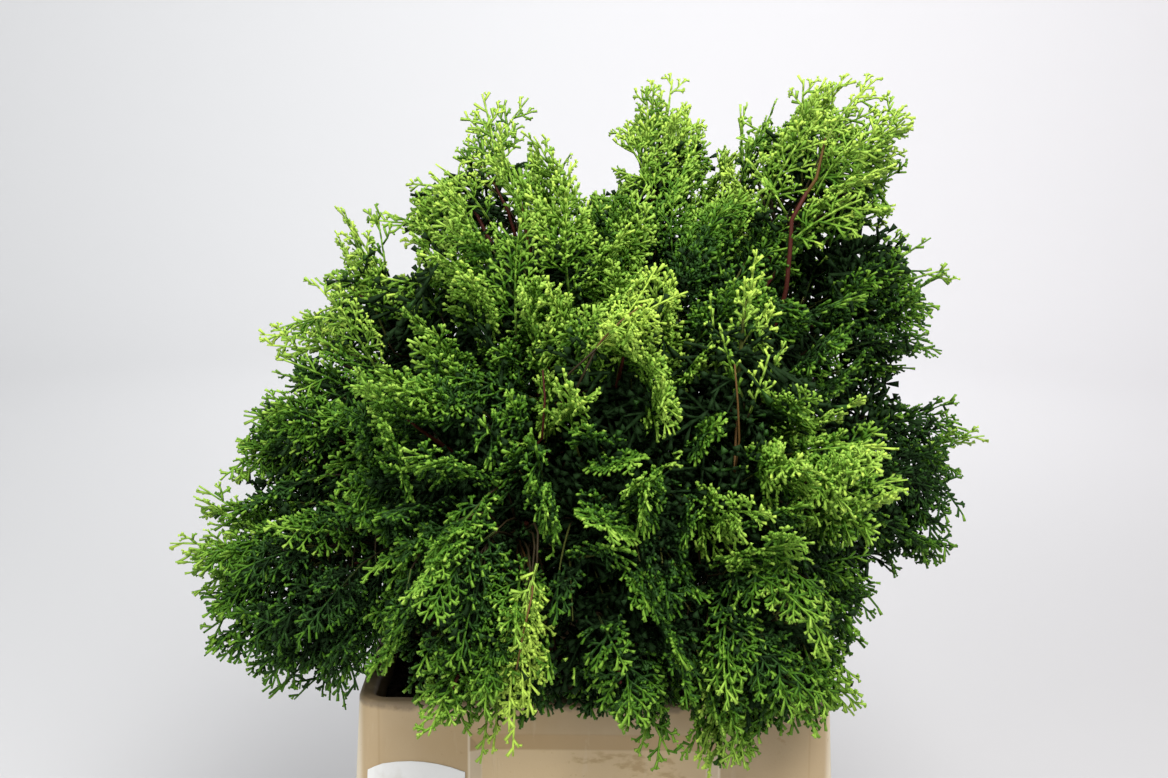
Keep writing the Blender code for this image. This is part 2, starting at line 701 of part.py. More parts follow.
class Foliage:
    """One mass of foliage: a leader, its twigs, their sprays and a small core, fused to one solid."""

    def __init__(self, mass, number, space, limb):
        self.mass = mass
        self.rng = random.Random(SEED + number)
        self.space = space
        self.limb = limb
        self.pieces = []

    def keep(self, points, faces):
        """Adds a closed surface to the mass."""
        self.pieces.append((points, faces))

    def fits(self, points, faces, reach=REACH):
        """Whether a surface stays in the mass's space and touches no limb."""
        return Space.holds(self.mass, points, reach) and not self.space.touches(points, faces)

    def add_spray(self, foot, tip, outward, reach=REACH):
        """Adds a spray at its full length, or shorter where that is what fits."""
        way = (tip - foot).normalized()
        length = min(SPRAY_LONGEST, (tip - foot).length)
        normal = outward + scattered(self.rng, SPRAY_SCATTER)
        droop = SPRAY_DROOP * self.rng.uniform(*SPRAY_DROOP_RANGE)
        for share in SPRAY_SHRINK:
            if length * share < SPRAY_SHORTEST:
                return
            points, faces = spray_shape(length * share, droop)
            points = placed(points, foot, way, normal)
            if self.fits(points, faces, reach):
                self.keep(points, faces)
                return

    def add_twig(self, origin, foot):
        """Adds a three-sided twig, shorter where that is what fits, and gives its end."""
        for share in TWIG_SHRINK:
            end = origin.lerp(foot, share)
            points, faces = closed_tube([origin, end], [TWIG_FOOT_RADIUS, TWIG_TIP_RADIUS], TWIG_SIDES)
            if self.fits(points, faces):
                self.keep(points, faces)
                return end - (end - origin).normalized() * SPRAY_ROOT
        return None

    def add_leader(self):
        """Adds the leader, which carries on from the limb, and gives its path."""
        mass = self.mass
        way = mass.direction
        start = self.limb.points[-1] + way * CLEARANCE
        end = mass.centre + way * mass.radius * LEADER_AFTER - UP * LEADER_SAG * mass.radius
        span = (end - start).length
        leave = start + way * LEADER_LEAVE * span
        arrive = end - way * LEADER_ARRIVE * span
        path = bezier(start, leave, arrive, end, LEADER_RINGS)
        radii = limb_radii(self.limb.radii[-1], LEADER_TIP_RADIUS, LEADER_RINGS)
        points, faces = closed_tube(path, radii, LEADER_SIDES, way)
        if not Space.holds(mass, points, REACH):
            raise ValueError(f"the leader of {mass.name} leaves its space")
        self.keep(points, faces)
        return path

    def grow(self):
        """Grows the whole mass by the seeded rule: twigs a golden angle apart, each with its spray."""
        mass = self.mass
        way = mass.direction
        path = self.add_leader()
        side = way.orthogonal().normalized()
        phase = self.rng.uniform(0.0, 2.0 * math.pi)
        growth = (way + UP * SPRAY_UPWARD * math.sin(math.radians(mass.rise))).normalized()
        count = round(SPRAYS * mass.slim)
        for k in range(count):
            height = 1.0 - SPRAYS_SWEEP * (k + 0.5) / count
            around = Quaternion(way, phase + k * GOLDEN_ANGLE) @ side
            outward = way * height + around * math.sqrt(1.0 - height * height)
            foot = mass.on_shell(outward, TWIG_SHARE) - growth * mass.radius * SPRAY_BACK
            reach = self.rng.uniform(REACH_LEAST, REACH)
            tip = mass.on_shell((outward + growth * SPRAY_FORWARD).normalized(), reach)
            fork = along(path, FORK_MIDDLE + FORK_SPREAD * height)
            foot = self.add_twig(fork, foot)
            if foot is not None:
                self.add_spray(foot, tip, outward)
        last_tip = mass.centre + way * mass.radius * TIP_REACH
        self.add_spray(path[-1], last_tip, (path[-1] - CROWN_HEART).normalized(), TIP_REACH)
        self.add_core()

    def add_core(self):
        """Adds the dense heart that the sprays stand out of, lumpy and cut to the mass's space."""
        mass = self.mass
        shape = bmesh.new()
        bmesh.ops.create_icosphere(shape, subdivisions=CORE_SUBDIVISIONS, radius=1.0)
        shape.verts.index_update()
        ways = [vert.co.normalized() for vert in shape.verts]
        faces = [tuple(vert.index for vert in face.verts) for face in shape.faces]
        shape.free()
        lumps = [self.rng.uniform(*CORE_LUMPS) for _ in ways]
        for shrink in CORE_SHRINK:
            points = []
            for way, lump in zip(ways, lumps):
                share = CORE_SHARE * lump + CORE_BEHIND * max(0.0, -way.dot(mass.direction))
                wanted = (mass.on_shell(way, share) - mass.centre).length
                points.append(mass.centre + way * self.space.room(mass, way, wanted) * shrink)
            if self.fits(points, faces):
                self.keep(points, faces)
                return

    def fuse(self, things):
        """One union of the pieces, as the mesh of the first of them."""
        holder = bpy.data.collections.new(f"{self.mass.name}_pieces")
        bpy.context.scene.collection.children.link(holder)
        base, *others = things
        bpy.context.scene.collection.objects.link(base)
        for thing in others:
            holder.objects.link(thing)
        union = base.modifiers.new("union", "BOOLEAN")
        union.operation = "UNION"
        union.operand_type = "COLLECTION"
        union.collection = holder
        union.solver = "MANIFOLD"
        graph = bpy.context.evaluated_depsgraph_get()
        fused = bpy.data.meshes.new_from_object(base.evaluated_get(graph))
        base.modifiers.clear()
        base.data = fused
        for thing in others:
            bpy.data.objects.remove(thing)
        bpy.data.collections.remove(holder)
        return base

    def build(self):
        """Grows the mass and puts it in the scene as one closed solid."""
        self.grow()
        things = []
        for points, faces in self.pieces:
            mesh = bpy.data.meshes.new(self.mass.name)
            mesh.from_pydata(points, [], faces)
            things.append(bpy.data.objects.new(self.mass.name, mesh))
        solid = self.fuse(things)
        keep_main_body(solid.data)
        solid.data.materials.clear()
        solid.data.materials.append(material(self.mass.finish))
        return solid


def islands(shape):
    """The faces of each connected body."""
    left = set(shape.faces)
    found = []
    while left:
        start = left.pop()
        body = [start]
        queue = [start]
        while queue:
            face = queue.pop()
            for edge in face.edges:
                for near in edge.link_faces:
                    if near in left:
                        left.remove(near)
                        body.append(near)
                        queue.append(near)
        found.append(body)
    return found


def body_volume(faces):
    """The signed volume within a closed set of faces."""
    total = 0.0
    for face in faces:
        corners = [vert.co for vert in face.verts]
        for k in range(1, len(corners) - 1):
            total += corners[0].dot(corners[k].cross(corners[k + 1])) / 6.0
    return total


def keep_main_body(mesh):
    """Drops loose scraps and fills the hollows that fusing sealed."""
    shape = bmesh.new()
    shape.from_mesh(mesh)
    bodies = sorted(islands(shape), key=body_volume)
    spare = [face for body in bodies[:-1] for face in body]
    bmesh.ops.delete(shape, geom=spare, context="FACES")
    shape.to_mesh(mesh)
    shape.free()


def make_plant():
    """All limbs, then the masses that keep clear of them."""
    limbs = []
    carrier = {}
    for stem in STEMS:
        limb = stem_limb(stem)
        limbs.append(limb)
        carrier[stem.leader] = limb
        for name in stem.boughs:
            bough = bough_limb(limb, MASS_NAMED[name])
            limbs.append(bough)
            carrier[name] = bough
    for limb in limbs:
        limb.build()
    space = Space()
    space.fence(limbs)
    for number, mass in enumerate(MASSES):
        Foliage(mass, number, space, carrier[mass.name]).build()


def main():
    """Builds the tub, its soil and label, and the plant."""
    clear_scene()
    make_tub()
    make_soil()
    make_label()
    make_plant()


main()
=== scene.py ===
"""The looks of a bushy potted thuja in a cream rectangular tub.

Sizes are in metres. X runs to the right, Y to the back and Z up, and the plant's front faces
-Y. The origin is the middle of the tub's flat underside. Every mass of foliage grows by the
same seeded rule as the solids, carried on to fans of scale-covered branchlets.
"""

import json
import logging
import math
import random
from dataclasses import dataclass
from enum import Enum

import bpy
import numpy as np
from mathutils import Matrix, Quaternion, Vector
from mathutils.kdtree import KDTree

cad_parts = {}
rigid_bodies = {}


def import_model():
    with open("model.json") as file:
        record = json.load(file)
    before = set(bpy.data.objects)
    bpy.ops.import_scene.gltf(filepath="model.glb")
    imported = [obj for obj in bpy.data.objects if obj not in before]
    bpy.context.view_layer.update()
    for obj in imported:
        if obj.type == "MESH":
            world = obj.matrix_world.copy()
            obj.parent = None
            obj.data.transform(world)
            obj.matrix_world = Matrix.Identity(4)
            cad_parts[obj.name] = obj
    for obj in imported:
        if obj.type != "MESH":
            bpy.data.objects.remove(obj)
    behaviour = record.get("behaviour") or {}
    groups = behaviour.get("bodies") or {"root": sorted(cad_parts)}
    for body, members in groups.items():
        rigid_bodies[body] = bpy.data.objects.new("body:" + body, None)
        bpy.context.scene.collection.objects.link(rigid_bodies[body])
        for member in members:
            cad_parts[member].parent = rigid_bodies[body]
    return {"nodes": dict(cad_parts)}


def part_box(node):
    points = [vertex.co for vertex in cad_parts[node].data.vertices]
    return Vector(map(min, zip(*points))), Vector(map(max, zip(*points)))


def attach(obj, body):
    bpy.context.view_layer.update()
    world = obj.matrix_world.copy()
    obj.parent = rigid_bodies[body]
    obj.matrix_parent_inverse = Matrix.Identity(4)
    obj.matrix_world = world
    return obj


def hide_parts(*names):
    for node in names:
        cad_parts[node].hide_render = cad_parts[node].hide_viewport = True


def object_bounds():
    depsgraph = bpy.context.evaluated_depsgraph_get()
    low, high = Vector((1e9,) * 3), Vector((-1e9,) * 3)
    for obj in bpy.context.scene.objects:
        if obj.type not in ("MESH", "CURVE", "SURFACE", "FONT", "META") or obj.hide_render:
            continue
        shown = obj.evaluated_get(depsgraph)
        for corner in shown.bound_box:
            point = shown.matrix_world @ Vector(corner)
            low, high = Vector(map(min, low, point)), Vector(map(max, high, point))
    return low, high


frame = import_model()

CAD_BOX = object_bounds()
LOG = logging.getLogger("potted_thuja")
UP = Vector((0.0, 0.0, 1.0))
EYE = Vector((-0.0110, -1.386, 0.8265))

# The tub, as its solid has it
TUB_WIDTH = 0.390
TUB_DEPTH = 0.290
TUB_HEIGHT = 0.300
TUB_FLARE = 0.015
WALL = 0.009
SOIL_TOP = TUB_HEIGHT - 0.045
CLEARANCE = 0.0003
WELD = 0.00002

# The rule that the solids of the crown grow by
SEED = 41
GOLDEN_ANGLE = math.radians(137.508)
CROWN_HEART = Vector((0.0, 0.0, 0.40))
REACH = 1.06
REACH_LEAST = 0.92
TIP_REACH = 1.16
TWIG_SHARE = 0.50
SPRAYS = 8
SPRAYS_SWEEP = 1.40
SPRAY_FORWARD = 0.55
SPRAY_UPWARD = 0.30
SPRAY_SCATTER = 0.35
SPRAY_DROOP = 0.16
SPRAY_DROOP_RANGE = (0.3, 1.5)


def bezier(a: Vector, b: Vector, c: Vector, d: Vector, count: int) -> list[Vector]:
    """Evenly numbered points along a cubic curve.

    Args:
        a: Its start.
        b: The first handle.
        c: The second handle.
        d: Its end.
        count: How many points.

    Returns:
        The points, ends included.
    """
    points = []
    for k in range(count):
        t = k / (count - 1)
        s = 1.0 - t
        points.append(a * s**3 + b * 3 * s * s * t + c * 3 * s * t * t + d * t**3)
    return points


def on_path(path: list[Vector], share: float) -> Vector:
    """The point at a share of the way along a path."""
    place = min(max(share, 0.0), 1.0) * (len(path) - 1)
    step = min(int(place), len(path) - 2)
    return path[step].lerp(path[step + 1], place - step)


def smooth_step(low: float, high: float, value: float) -> float:
    """An even rise from 0 at low to 1 at high."""
    t = min(max((value - low) / (high - low), 0.0), 1.0)
    return t * t * (3.0 - 2.0 * t)


def heading(turn: float, pitch: float) -> Vector:
    """The way that points to a turn about Z and a pitch above the level, in radians."""
    flat = math.cos(pitch)
    return Vector((math.cos(turn) * flat, math.sin(turn) * flat, math.sin(pitch)))


def flat_to(vector: Vector, way: Vector) -> Vector:
    """The part of a vector square to a way, one long."""
    flat = vector - way * vector.dot(way)
    return flat.normalized() if flat.length > 0.001 else way.orthogonal().normalized()


def round_axis(way: Vector, side: Vector, turn: float, height: float) -> Vector:
    """The unit vector at a height along an axis, turned about it from its side."""
    around = Quaternion(way, turn) @ side
    return way * height + around * math.sqrt(1.0 - height * height)


def to_rows(points: list) -> np.ndarray:
    """Vectors as rows of an array."""
    return np.array([tuple(point) for point in points])


def unit(rows: np.ndarray) -> np.ndarray:
    """Rows of vectors, each made one long."""
    return rows / np.maximum(np.linalg.norm(rows, axis=1, keepdims=True), 1e-9)


# Shaders


class Value:
    """A number that a material works out, with the arithmetic that its recipe uses."""

    def __init__(self, recipe: "Recipe", socket: bpy.types.NodeSocket) -> None:
        """Keeps the socket and the recipe that it belongs to."""
        self.recipe = recipe
        self.socket = socket

    def __add__(self, other: "Value | float") -> "Value":
        """The sum."""
        return self.recipe.maths("ADD", self, other)

    def __sub__(self, other: "Value | float") -> "Value":
        """The difference."""
        return self.recipe.maths("SUBTRACT", self, other)

    def __rsub__(self, other: float) -> "Value":
        """The difference from a plain number."""
        return self.recipe.maths("SUBTRACT", other, self)

    def __mul__(self, other: "Value | float") -> "Value":
        """The product."""
        return self.recipe.maths("MULTIPLY", self, other)

    def __abs__(self) -> "Value":
        """The size without its sign."""
        return self.recipe.maths("ABSOLUTE", self)

    def spread(self, low: float, high: float) -> "Value":
        """One where it lies within low of nought, falling to nought at high."""
        return abs(self).step(high, low)

    def step(self, low: float, high: float) -> "Value":
        """A smooth rise from 0 to 1 between two values, or a fall where high is the lower."""
        settings = {"interpolation_type": "SMOOTHSTEP"}
        inputs = {"Value": self, "From Min": low, "From Max": high}
        node = self.recipe.node("ShaderNodeMapRange", settings, inputs)
        return Value(self.recipe, node.outputs[0])

    __radd__ = __add__
    __rmul__ = __mul__


class Recipe:
    """The node tree of one material, built as expressions."""

    def __init__(self, name: str, **sockets: float) -> None:
        """Makes the material and sets its shader's constants.

        Args:
            name: The material's name.
            sockets: The shader's constants, named with underscores for blanks.
        """
        self.material = bpy.data.materials.new(name)
        self.material.use_nodes = True
        self.tree = self.material.node_tree
        self.shader = self.tree.nodes["Principled BSDF"]
        for key, value in sockets.items():
            self.shader.inputs[key.replace("_", " ")].default_value = value

    @staticmethod
    def find(sockets: bpy.types.bpy_prop_collection, key: str) -> bpy.types.NodeSocket:
        """The socket with that identifier, or else with that name."""
        for socket in sockets:
            if socket.identifier == key:
                return socket
        return sockets[key]

    def feed(self, socket: bpy.types.NodeSocket, value: object) -> None:
        """Links a value to a socket, or sets it."""
        if isinstance(value, Value):
            value = value.socket
        if isinstance(value, bpy.types.NodeSocket):
            self.tree.links.new(value, socket)
        else:
            socket.default_value = value

    def node(self, kind: str, settings: dict | None = None,
             inputs: dict | None = None) -> bpy.types.Node:
        """Adds a node.

        Args:
            kind: Its type.
            settings: Its properties, which are set first.
            inputs: Constants or links, by the name or identifier of each socket.

        Returns:
            The node.
        """
        node = self.tree.nodes.new(kind)
        for key, value in (settings or {}).items():
            setattr(node, key, value)
        for key, value in (inputs or {}).items():
            self.feed(self.find(node.inputs, key), value)
        return node

    def maths(self, operation: str, *values: "Value | float") -> Value:
        """A Math node on one or two numbers or values."""
        inputs = dict(zip(("Value", "Value_001"), values))
        node = self.node("ShaderNodeMath", {"operation": operation}, inputs)
        return Value(self, node.outputs[0])

    def place(self) -> bpy.types.NodeSocket:
        """Where a point lies on the piece."""
        return self.node("ShaderNodeTexCoord").outputs["Object"]

    def axes(self) -> tuple[Value, Value, Value]:
        """The three coordinates of a point on the piece."""
        split = self.node("ShaderNodeSeparateXYZ", None, {"Vector": self.place()})
        return tuple(Value(self, socket) for socket in split.outputs)

    def noise(self, scale: float, detail: float = 3.0, rough: float = 0.55,
              stretch: tuple = (1.0, 1.0, 1.0), ridged: bool = False) -> Value:
        """A noise pattern.

        Args:
            scale: Its grains in a metre.
            detail: Its octaves.
            rough: How strong the finer octaves are.
            stretch: Its scale along each axis.
            ridged: Whether it runs in sharp ridges.

        Returns:
            Its value, about 0 to 1.
        """
        mapping = {"Vector": self.place(), "Scale": stretch}
        spot = self.node("ShaderNodeMapping", None, mapping).outputs[0]
        kind = "RIDGED_MULTIFRACTAL" if ridged else "FBM"
        settings = {"noise_type": kind, "normalize": not ridged}
        inputs = {"Vector": spot, "Scale": scale, "Detail": detail, "Roughness": rough}
        return Value(self, self.node("ShaderNodeTexNoise", settings, inputs).outputs[0])

    def mix(self, factor: Value | float, a: object, b: object) -> bpy.types.NodeSocket:
        """A colour between two colours."""
        inputs = {"Factor_Float": factor, "A_Color": self.tint(a), "B_Color": self.tint(b)}
        node = self.node("ShaderNodeMix", {"data_type": "RGBA"}, inputs)
        return self.find(node.outputs, "Result_Color")

    def coat(self, colour: object, layers: tuple) -> object:
        """A colour under layers, each a factor and the colour that it lays over the rest."""
        for factor, over in layers:
            colour = self.mix(factor, colour, over)
        return colour

    @staticmethod
    def tint(colour: object) -> object:
        """A colour with its fourth number, or the link as it is."""
        return (*colour, 1.0) if isinstance(colour, tuple) else colour

    def finish(self, colour: object, roughness: Value | float, relief: Value | None = None,
               depth: float = 0.0, strength: float = 1.0) -> bpy.types.Material:
        """Feeds the shader.

        Args:
            colour: The base colour.
            roughness: The roughness.
            relief: The height of a fine relief, if there is one.
            depth: The relief's depth in metres.
            strength: How strongly it shows.

        Returns:
            The material.
        """
        self.feed(self.shader.inputs["Base Color"], self.tint(colour))
        self.feed(self.shader.inputs["Roughness"], roughness)
        if relief is not None:
            inputs = {"Height": relief, "Distance": depth, "Strength": strength}
            bump = self.node("ShaderNodeBump", None, inputs)
            self.feed(self.shader.inputs["Normal"], bump.outputs[0])
        return self.material


@dataclass(frozen=True)
class CreamPlastic:
    """The tub's moulded plastic: cream, scuffed, stained on the front and grimy at its rim, with
    painted shade on the rim, the panel's top bevel and the creases, and painted highlights on the
    panel's floor, side bevels and edges and on the front corners.

    Each pair of places says, in metres, where a mark begins and where it is full.
    """

    clean: tuple = (0.475, 0.356, 0.210)
    yellowed: tuple = (0.435, 0.308, 0.156)
    # The brown of the residue stains, also used for painted shade on the panel's top bevel and in
    # the creases.
    residue: tuple = (0.350, 0.228, 0.092)
    # Grime colour, also laid over the rim as painted shade.
    grime_and_shade: tuple = (0.110, 0.080, 0.050)
    # The colour of the painted highlights.
    worn: tuple = (0.820, 0.730, 0.560)
    lit: tuple = (0.600, 0.455, 0.262)
    scuffed: tuple = (0.64, 0.55, 0.41)
    front_wall: tuple = (-0.135, -0.140)
    stain_middle: float = 0.030
    stain_sides: tuple = (0.045, 0.085)
    stain_top: tuple = (0.262, 0.254)
    stain_foot: tuple = (0.10, 0.20)
    panel_top: tuple = (0.2750, 0.2725)
    panel_sides: tuple = (0.1035, 0.1015)
    panel_edge: float = 0.1028
    edge_width: tuple = (0.0004, 0.0016)
    floor_top: tuple = (0.2600, 0.2575)
    floor_sides: tuple = (0.0935, 0.0920)
    slope_inner: tuple = (0.0915, 0.0930)
    slope_outer: tuple = (0.1032, 0.1024)
    crease_place: float = 0.1765
    crease_width: tuple = (0.0003, 0.0014)
    corner_sides: tuple = (0.1890, 0.1960)
    corner_depth: tuple = (-0.112, -0.130)
    rim_rise: tuple = (TUB_HEIGHT - 0.012, TUB_HEIGHT - 0.001)
    foot_rise: tuple = (0.0, 0.045)

    def make(self) -> bpy.types.Material:
        """The material."""
        mat = Recipe("cream_plastic", Specular_IOR_Level=0.42)
        x, y, z = mat.axes()
        aside = abs(x)
        cloud = mat.noise(7.0, 4.0)
        blotch = mat.noise(38.0, 5.0, 0.62)
        speck = mat.noise(420.0, 3.0)
        scratch = mat.noise(90.0, 4.0, 0.6, (1.0, 1.0, 0.12)).step(0.60, 0.70)
        smear = mat.noise(30.0, 5.0, 0.62, (0.6, 1.0, 1.4))
        front = y.step(*self.front_wall)
        stain = (smear + cloud * 0.5).step(0.74, 0.81) * front
        stain = stain * z.step(*self.stain_top) * z.step(*self.stain_foot)
        stain = stain * (1.0 - abs(x - self.stain_middle).step(*self.stain_sides))
        panel = front * z.step(*self.panel_top)
        below = z.step(*self.floor_top)
        # The panel's floor is painted lighter: painted highlight.
        floor = panel * aside.step(*self.floor_sides) * below
        # The panel's side bevels are painted lighter: painted highlight.
        slope = panel * aside.step(*self.slope_inner) * aside.step(*self.slope_outer) * below
        # The panel's downward-facing top bevel is painted darker: painted shade.
        shaded_top_bevel = panel * aside.step(*self.panel_sides) * z.step(*reversed(self.floor_top))
        # The panel's edges are painted lighter: painted highlight.
        edges = panel * (aside - self.panel_edge).spread(*self.edge_width)
        # The creases are painted darker: painted shade.
        crease_shade = (aside - self.crease_place).spread(*self.crease_width) * cloud
        # The front corners are painted lighter: painted highlight.
        corners = aside.step(*self.corner_sides) * y.step(*self.corner_depth)
        # The top of the rim is darkened with grime patches and a painted shade band.
        rim = z.step(*self.rim_rise)
        grime_and_rim_shade = (mat.noise(60.0, 4.0, 0.6) * 0.9 + rim * 0.55).step(0.62, 1.0)
        foot = (1.0 - z.step(*self.foot_rise)) * blotch.step(0.35, 0.65)
        colour = mat.coat(self.clean, (
            (cloud.step(0.35, 0.75), self.yellowed),
            (floor * 0.85, self.lit),
            (slope * 0.40, self.worn),
            (shaded_top_bevel * 0.55, self.residue),
            (crease_shade * 0.55, self.residue),
            (edges * 0.50, self.worn),
            (corners * 0.75, self.worn),
            (stain * 0.55, self.residue),
            (blotch.step(0.67, 0.72) * 0.45, self.residue),
            (grime_and_rim_shade * 0.62, self.grime_and_shade),
            (foot * 0.45, self.grime_and_shade),
            (scratch * 0.16, self.scuffed),
            (speck.step(0.66, 0.74) * 0.35, self.residue),
        ))
        rough = 0.42 + blotch * 0.18 + scratch * 0.12 + stain * 0.15
        relief = speck * 0.35 + blotch * 0.5 - scratch * 0.4
        return mat.finish(colour, rough, relief, 0.0006, 0.5)


@dataclass(frozen=True)
class BlankPaper:
    """The bare label: white paper, a little creased and damp-stained."""

    white: tuple = (0.80, 0.80, 0.78)
    damp: tuple = (0.56, 0.53, 0.46)

    def make(self) -> bpy.types.Material:
        """The material."""
        mat = Recipe("blank_paper", Specular_IOR_Level=0.30)
        cloud = mat.noise(30.0, 4.0)
        fibre = mat.noise(900.0, 2.0)
        crease = mat.noise(24.0, 2.0, 0.5, ridged=True)
        colour = mat.mix(cloud.step(0.55, 0.80) * 0.6, self.white, self.damp)
        relief = cloud + crease * 0.10 + fibre * 0.05
        return mat.finish(colour, 0.62 + fibre * 0.12, relief, 0.0012, 0.6)


@dataclass(frozen=True)
class PottingSoil:
    """Dark peat with bark crumbs and a few pale grains."""

    peat: tuple = (0.016, 0.010, 0.006)
    crumb: tuple = (0.070, 0.040, 0.022)
    grain: tuple = (0.34, 0.30, 0.24)

    def make(self) -> bpy.types.Material:
        """The material."""
        mat = Recipe("potting_soil", Specular_IOR_Level=0.25)
        lump = mat.noise(130.0, 5.0, 0.65)
        fleck = mat.noise(520.0, 2.0)
        colour = mat.coat(self.peat, (
            (lump.step(0.42, 0.68), self.crumb),
            (fleck.step(0.72, 0.76) * 0.7, self.grain),
        ))
        return mat.finish(colour, 0.95 - lump * 0.15, lump + fleck * 0.3, 0.0025, 0.9)


@dataclass(frozen=True)
class Bark:
    """Thin mahogany bark that splits lengthwise and greys on its ridges."""

    name: str
    groove: tuple
    skin: tuple
    ridge: tuple

    def make(self) -> bpy.types.Material:
        """The material."""
        mat = Recipe(self.name, Specular_IOR_Level=0.35)
        strip = mat.noise(260.0, 5.0, 0.6, (1.0, 1.0, 0.09))
        patch = mat.noise(75.0, 4.0, 0.6, (1.0, 1.0, 0.4))
        scale = mat.noise(800.0, 2.0, 0.5, (1.0, 1.0, 0.35))
        colour = mat.coat(self.groove, (
            (strip.step(0.38, 0.56), self.skin),
            ((strip * 0.6 + patch * 0.5).step(0.58, 0.74) * 0.65, self.ridge),
            (scale.step(0.66, 0.76) * 0.4, self.groove),
        ))
        return mat.finish(colour, 0.72 - strip * 0.18, strip + scale * 0.25, 0.0009, 0.85)


@dataclass(frozen=True)
class PlainFinish:
    """A finish in one base colour, for what is too fine to carry a pattern."""

    name: str
    colour: tuple
    roughness: float
    slot: str

    def make(self) -> bpy.types.Material:
        """The material."""
        return Recipe(self.name, Specular_IOR_Level=0.15).finish(self.colour, self.roughness)


class Tone(Enum):
    """The greens that the sprays are dealt, from the shaded heart to the youngest tips: DEEP is
    painted shade, darker than any leaf's own green, and DARK is partly painted shade.
    """

    DEEP = PlainFinish("deep_leaf", (0.0075, 0.0250, 0.0040), 0.75, "deep_foliage")
    DARK = PlainFinish("dark_leaf", (0.0200, 0.0620, 0.0085), 0.50, "deep_foliage")
    MID = PlainFinish("mid_leaf", (0.0570, 0.1500, 0.0100), 0.50, "fresh_foliage")
    FRESH = PlainFinish("fresh_leaf", (0.1520, 0.2980, 0.0290), 0.48, "fresh_foliage")
    BRIGHT = PlainFinish("bright_leaf", (0.2750, 0.4450, 0.0600), 0.47, "tip_foliage")
    YELLOW = PlainFinish("yellow_leaf", (0.4000, 0.5750, 0.0800), 0.47, "tip_foliage")


class Wood(Enum):
    """The barks of the twigs, from the leaders out to the axes of the fans."""

    RED = PlainFinish("red_twig", (0.062, 0.014, 0.009), 0.55, "bark")
    BROWN = PlainFinish("brown_twig", (0.026, 0.018, 0.007), 0.55, "bark")
    TAN = PlainFinish("tan_twig", (0.105, 0.056, 0.016), 0.55, "bark")
    OLIVE = PlainFinish("olive_twig", (0.075, 0.088, 0.018), 0.52, "bark")


# The rule that the solids grow by


@dataclass(frozen=True)
class Mass:
    """One mass of foliage: a ball, placed round the tub's middle, and its leader's slope."""

    name: str
    azimuth: float
    out: float
    height: float
    radius: float
    rise: float
    # How light its greens are: partly the foliage's own green, partly painted light, darker where
    # the mass lies in shade.
    tone: float
    slim: float = 1.0
    airy: float = 0.0

    @property
    def centre(self) -> Vector:
        """The middle of the ball."""
        turn = math.radians(self.azimuth)
        return Vector((self.out * math.cos(turn), self.out * math.sin(turn), self.height))

    @property
    def outward(self) -> Vector:
        """The way from the crown's heart to the mass."""
        return (self.centre - CROWN_HEART).normalized()

    @property
    def direction(self) -> Vector:
        """The way that its leader grows."""
        return heading(math.radians(self.azimuth), math.radians(self.rise))

    def on_shell(self, way: Vector, share: float) -> Vector:
        """The point at a share of the way from the centre to the mass's surface."""
        ahead = self.direction * way.dot(self.direction)
        return self.centre + (ahead + (way - ahead) * self.slim) * self.radius * share

    def depth(self, points: np.ndarray) -> np.ndarray:
        """How far out each point lies, as a share of the mass's radius."""
        offset = points - np.array(self.centre)
        way = np.array(self.direction)
        ahead = (offset @ way)[:, None] * way
        across = (offset - ahead) / self.slim
        return np.sqrt((ahead**2 + across**2).sum(1)) / self.radius


@dataclass(frozen=True)
class Stem:
    """One stem: its foot's place, the mass that it ends in and the masses that its boughs carry."""

    name: str
    foot_azimuth: float
    foot_out: float
    leader: str
    boughs: tuple

    @property
    def foot(self) -> Vector:
        """The middle of its flat cut, just clear of the soil."""
        turn = math.radians(self.foot_azimuth)
        x = self.foot_out * math.cos(turn)
        y = self.foot_out * math.sin(turn)
        return Vector((x, y, SOIL_TOP + CLEARANCE))


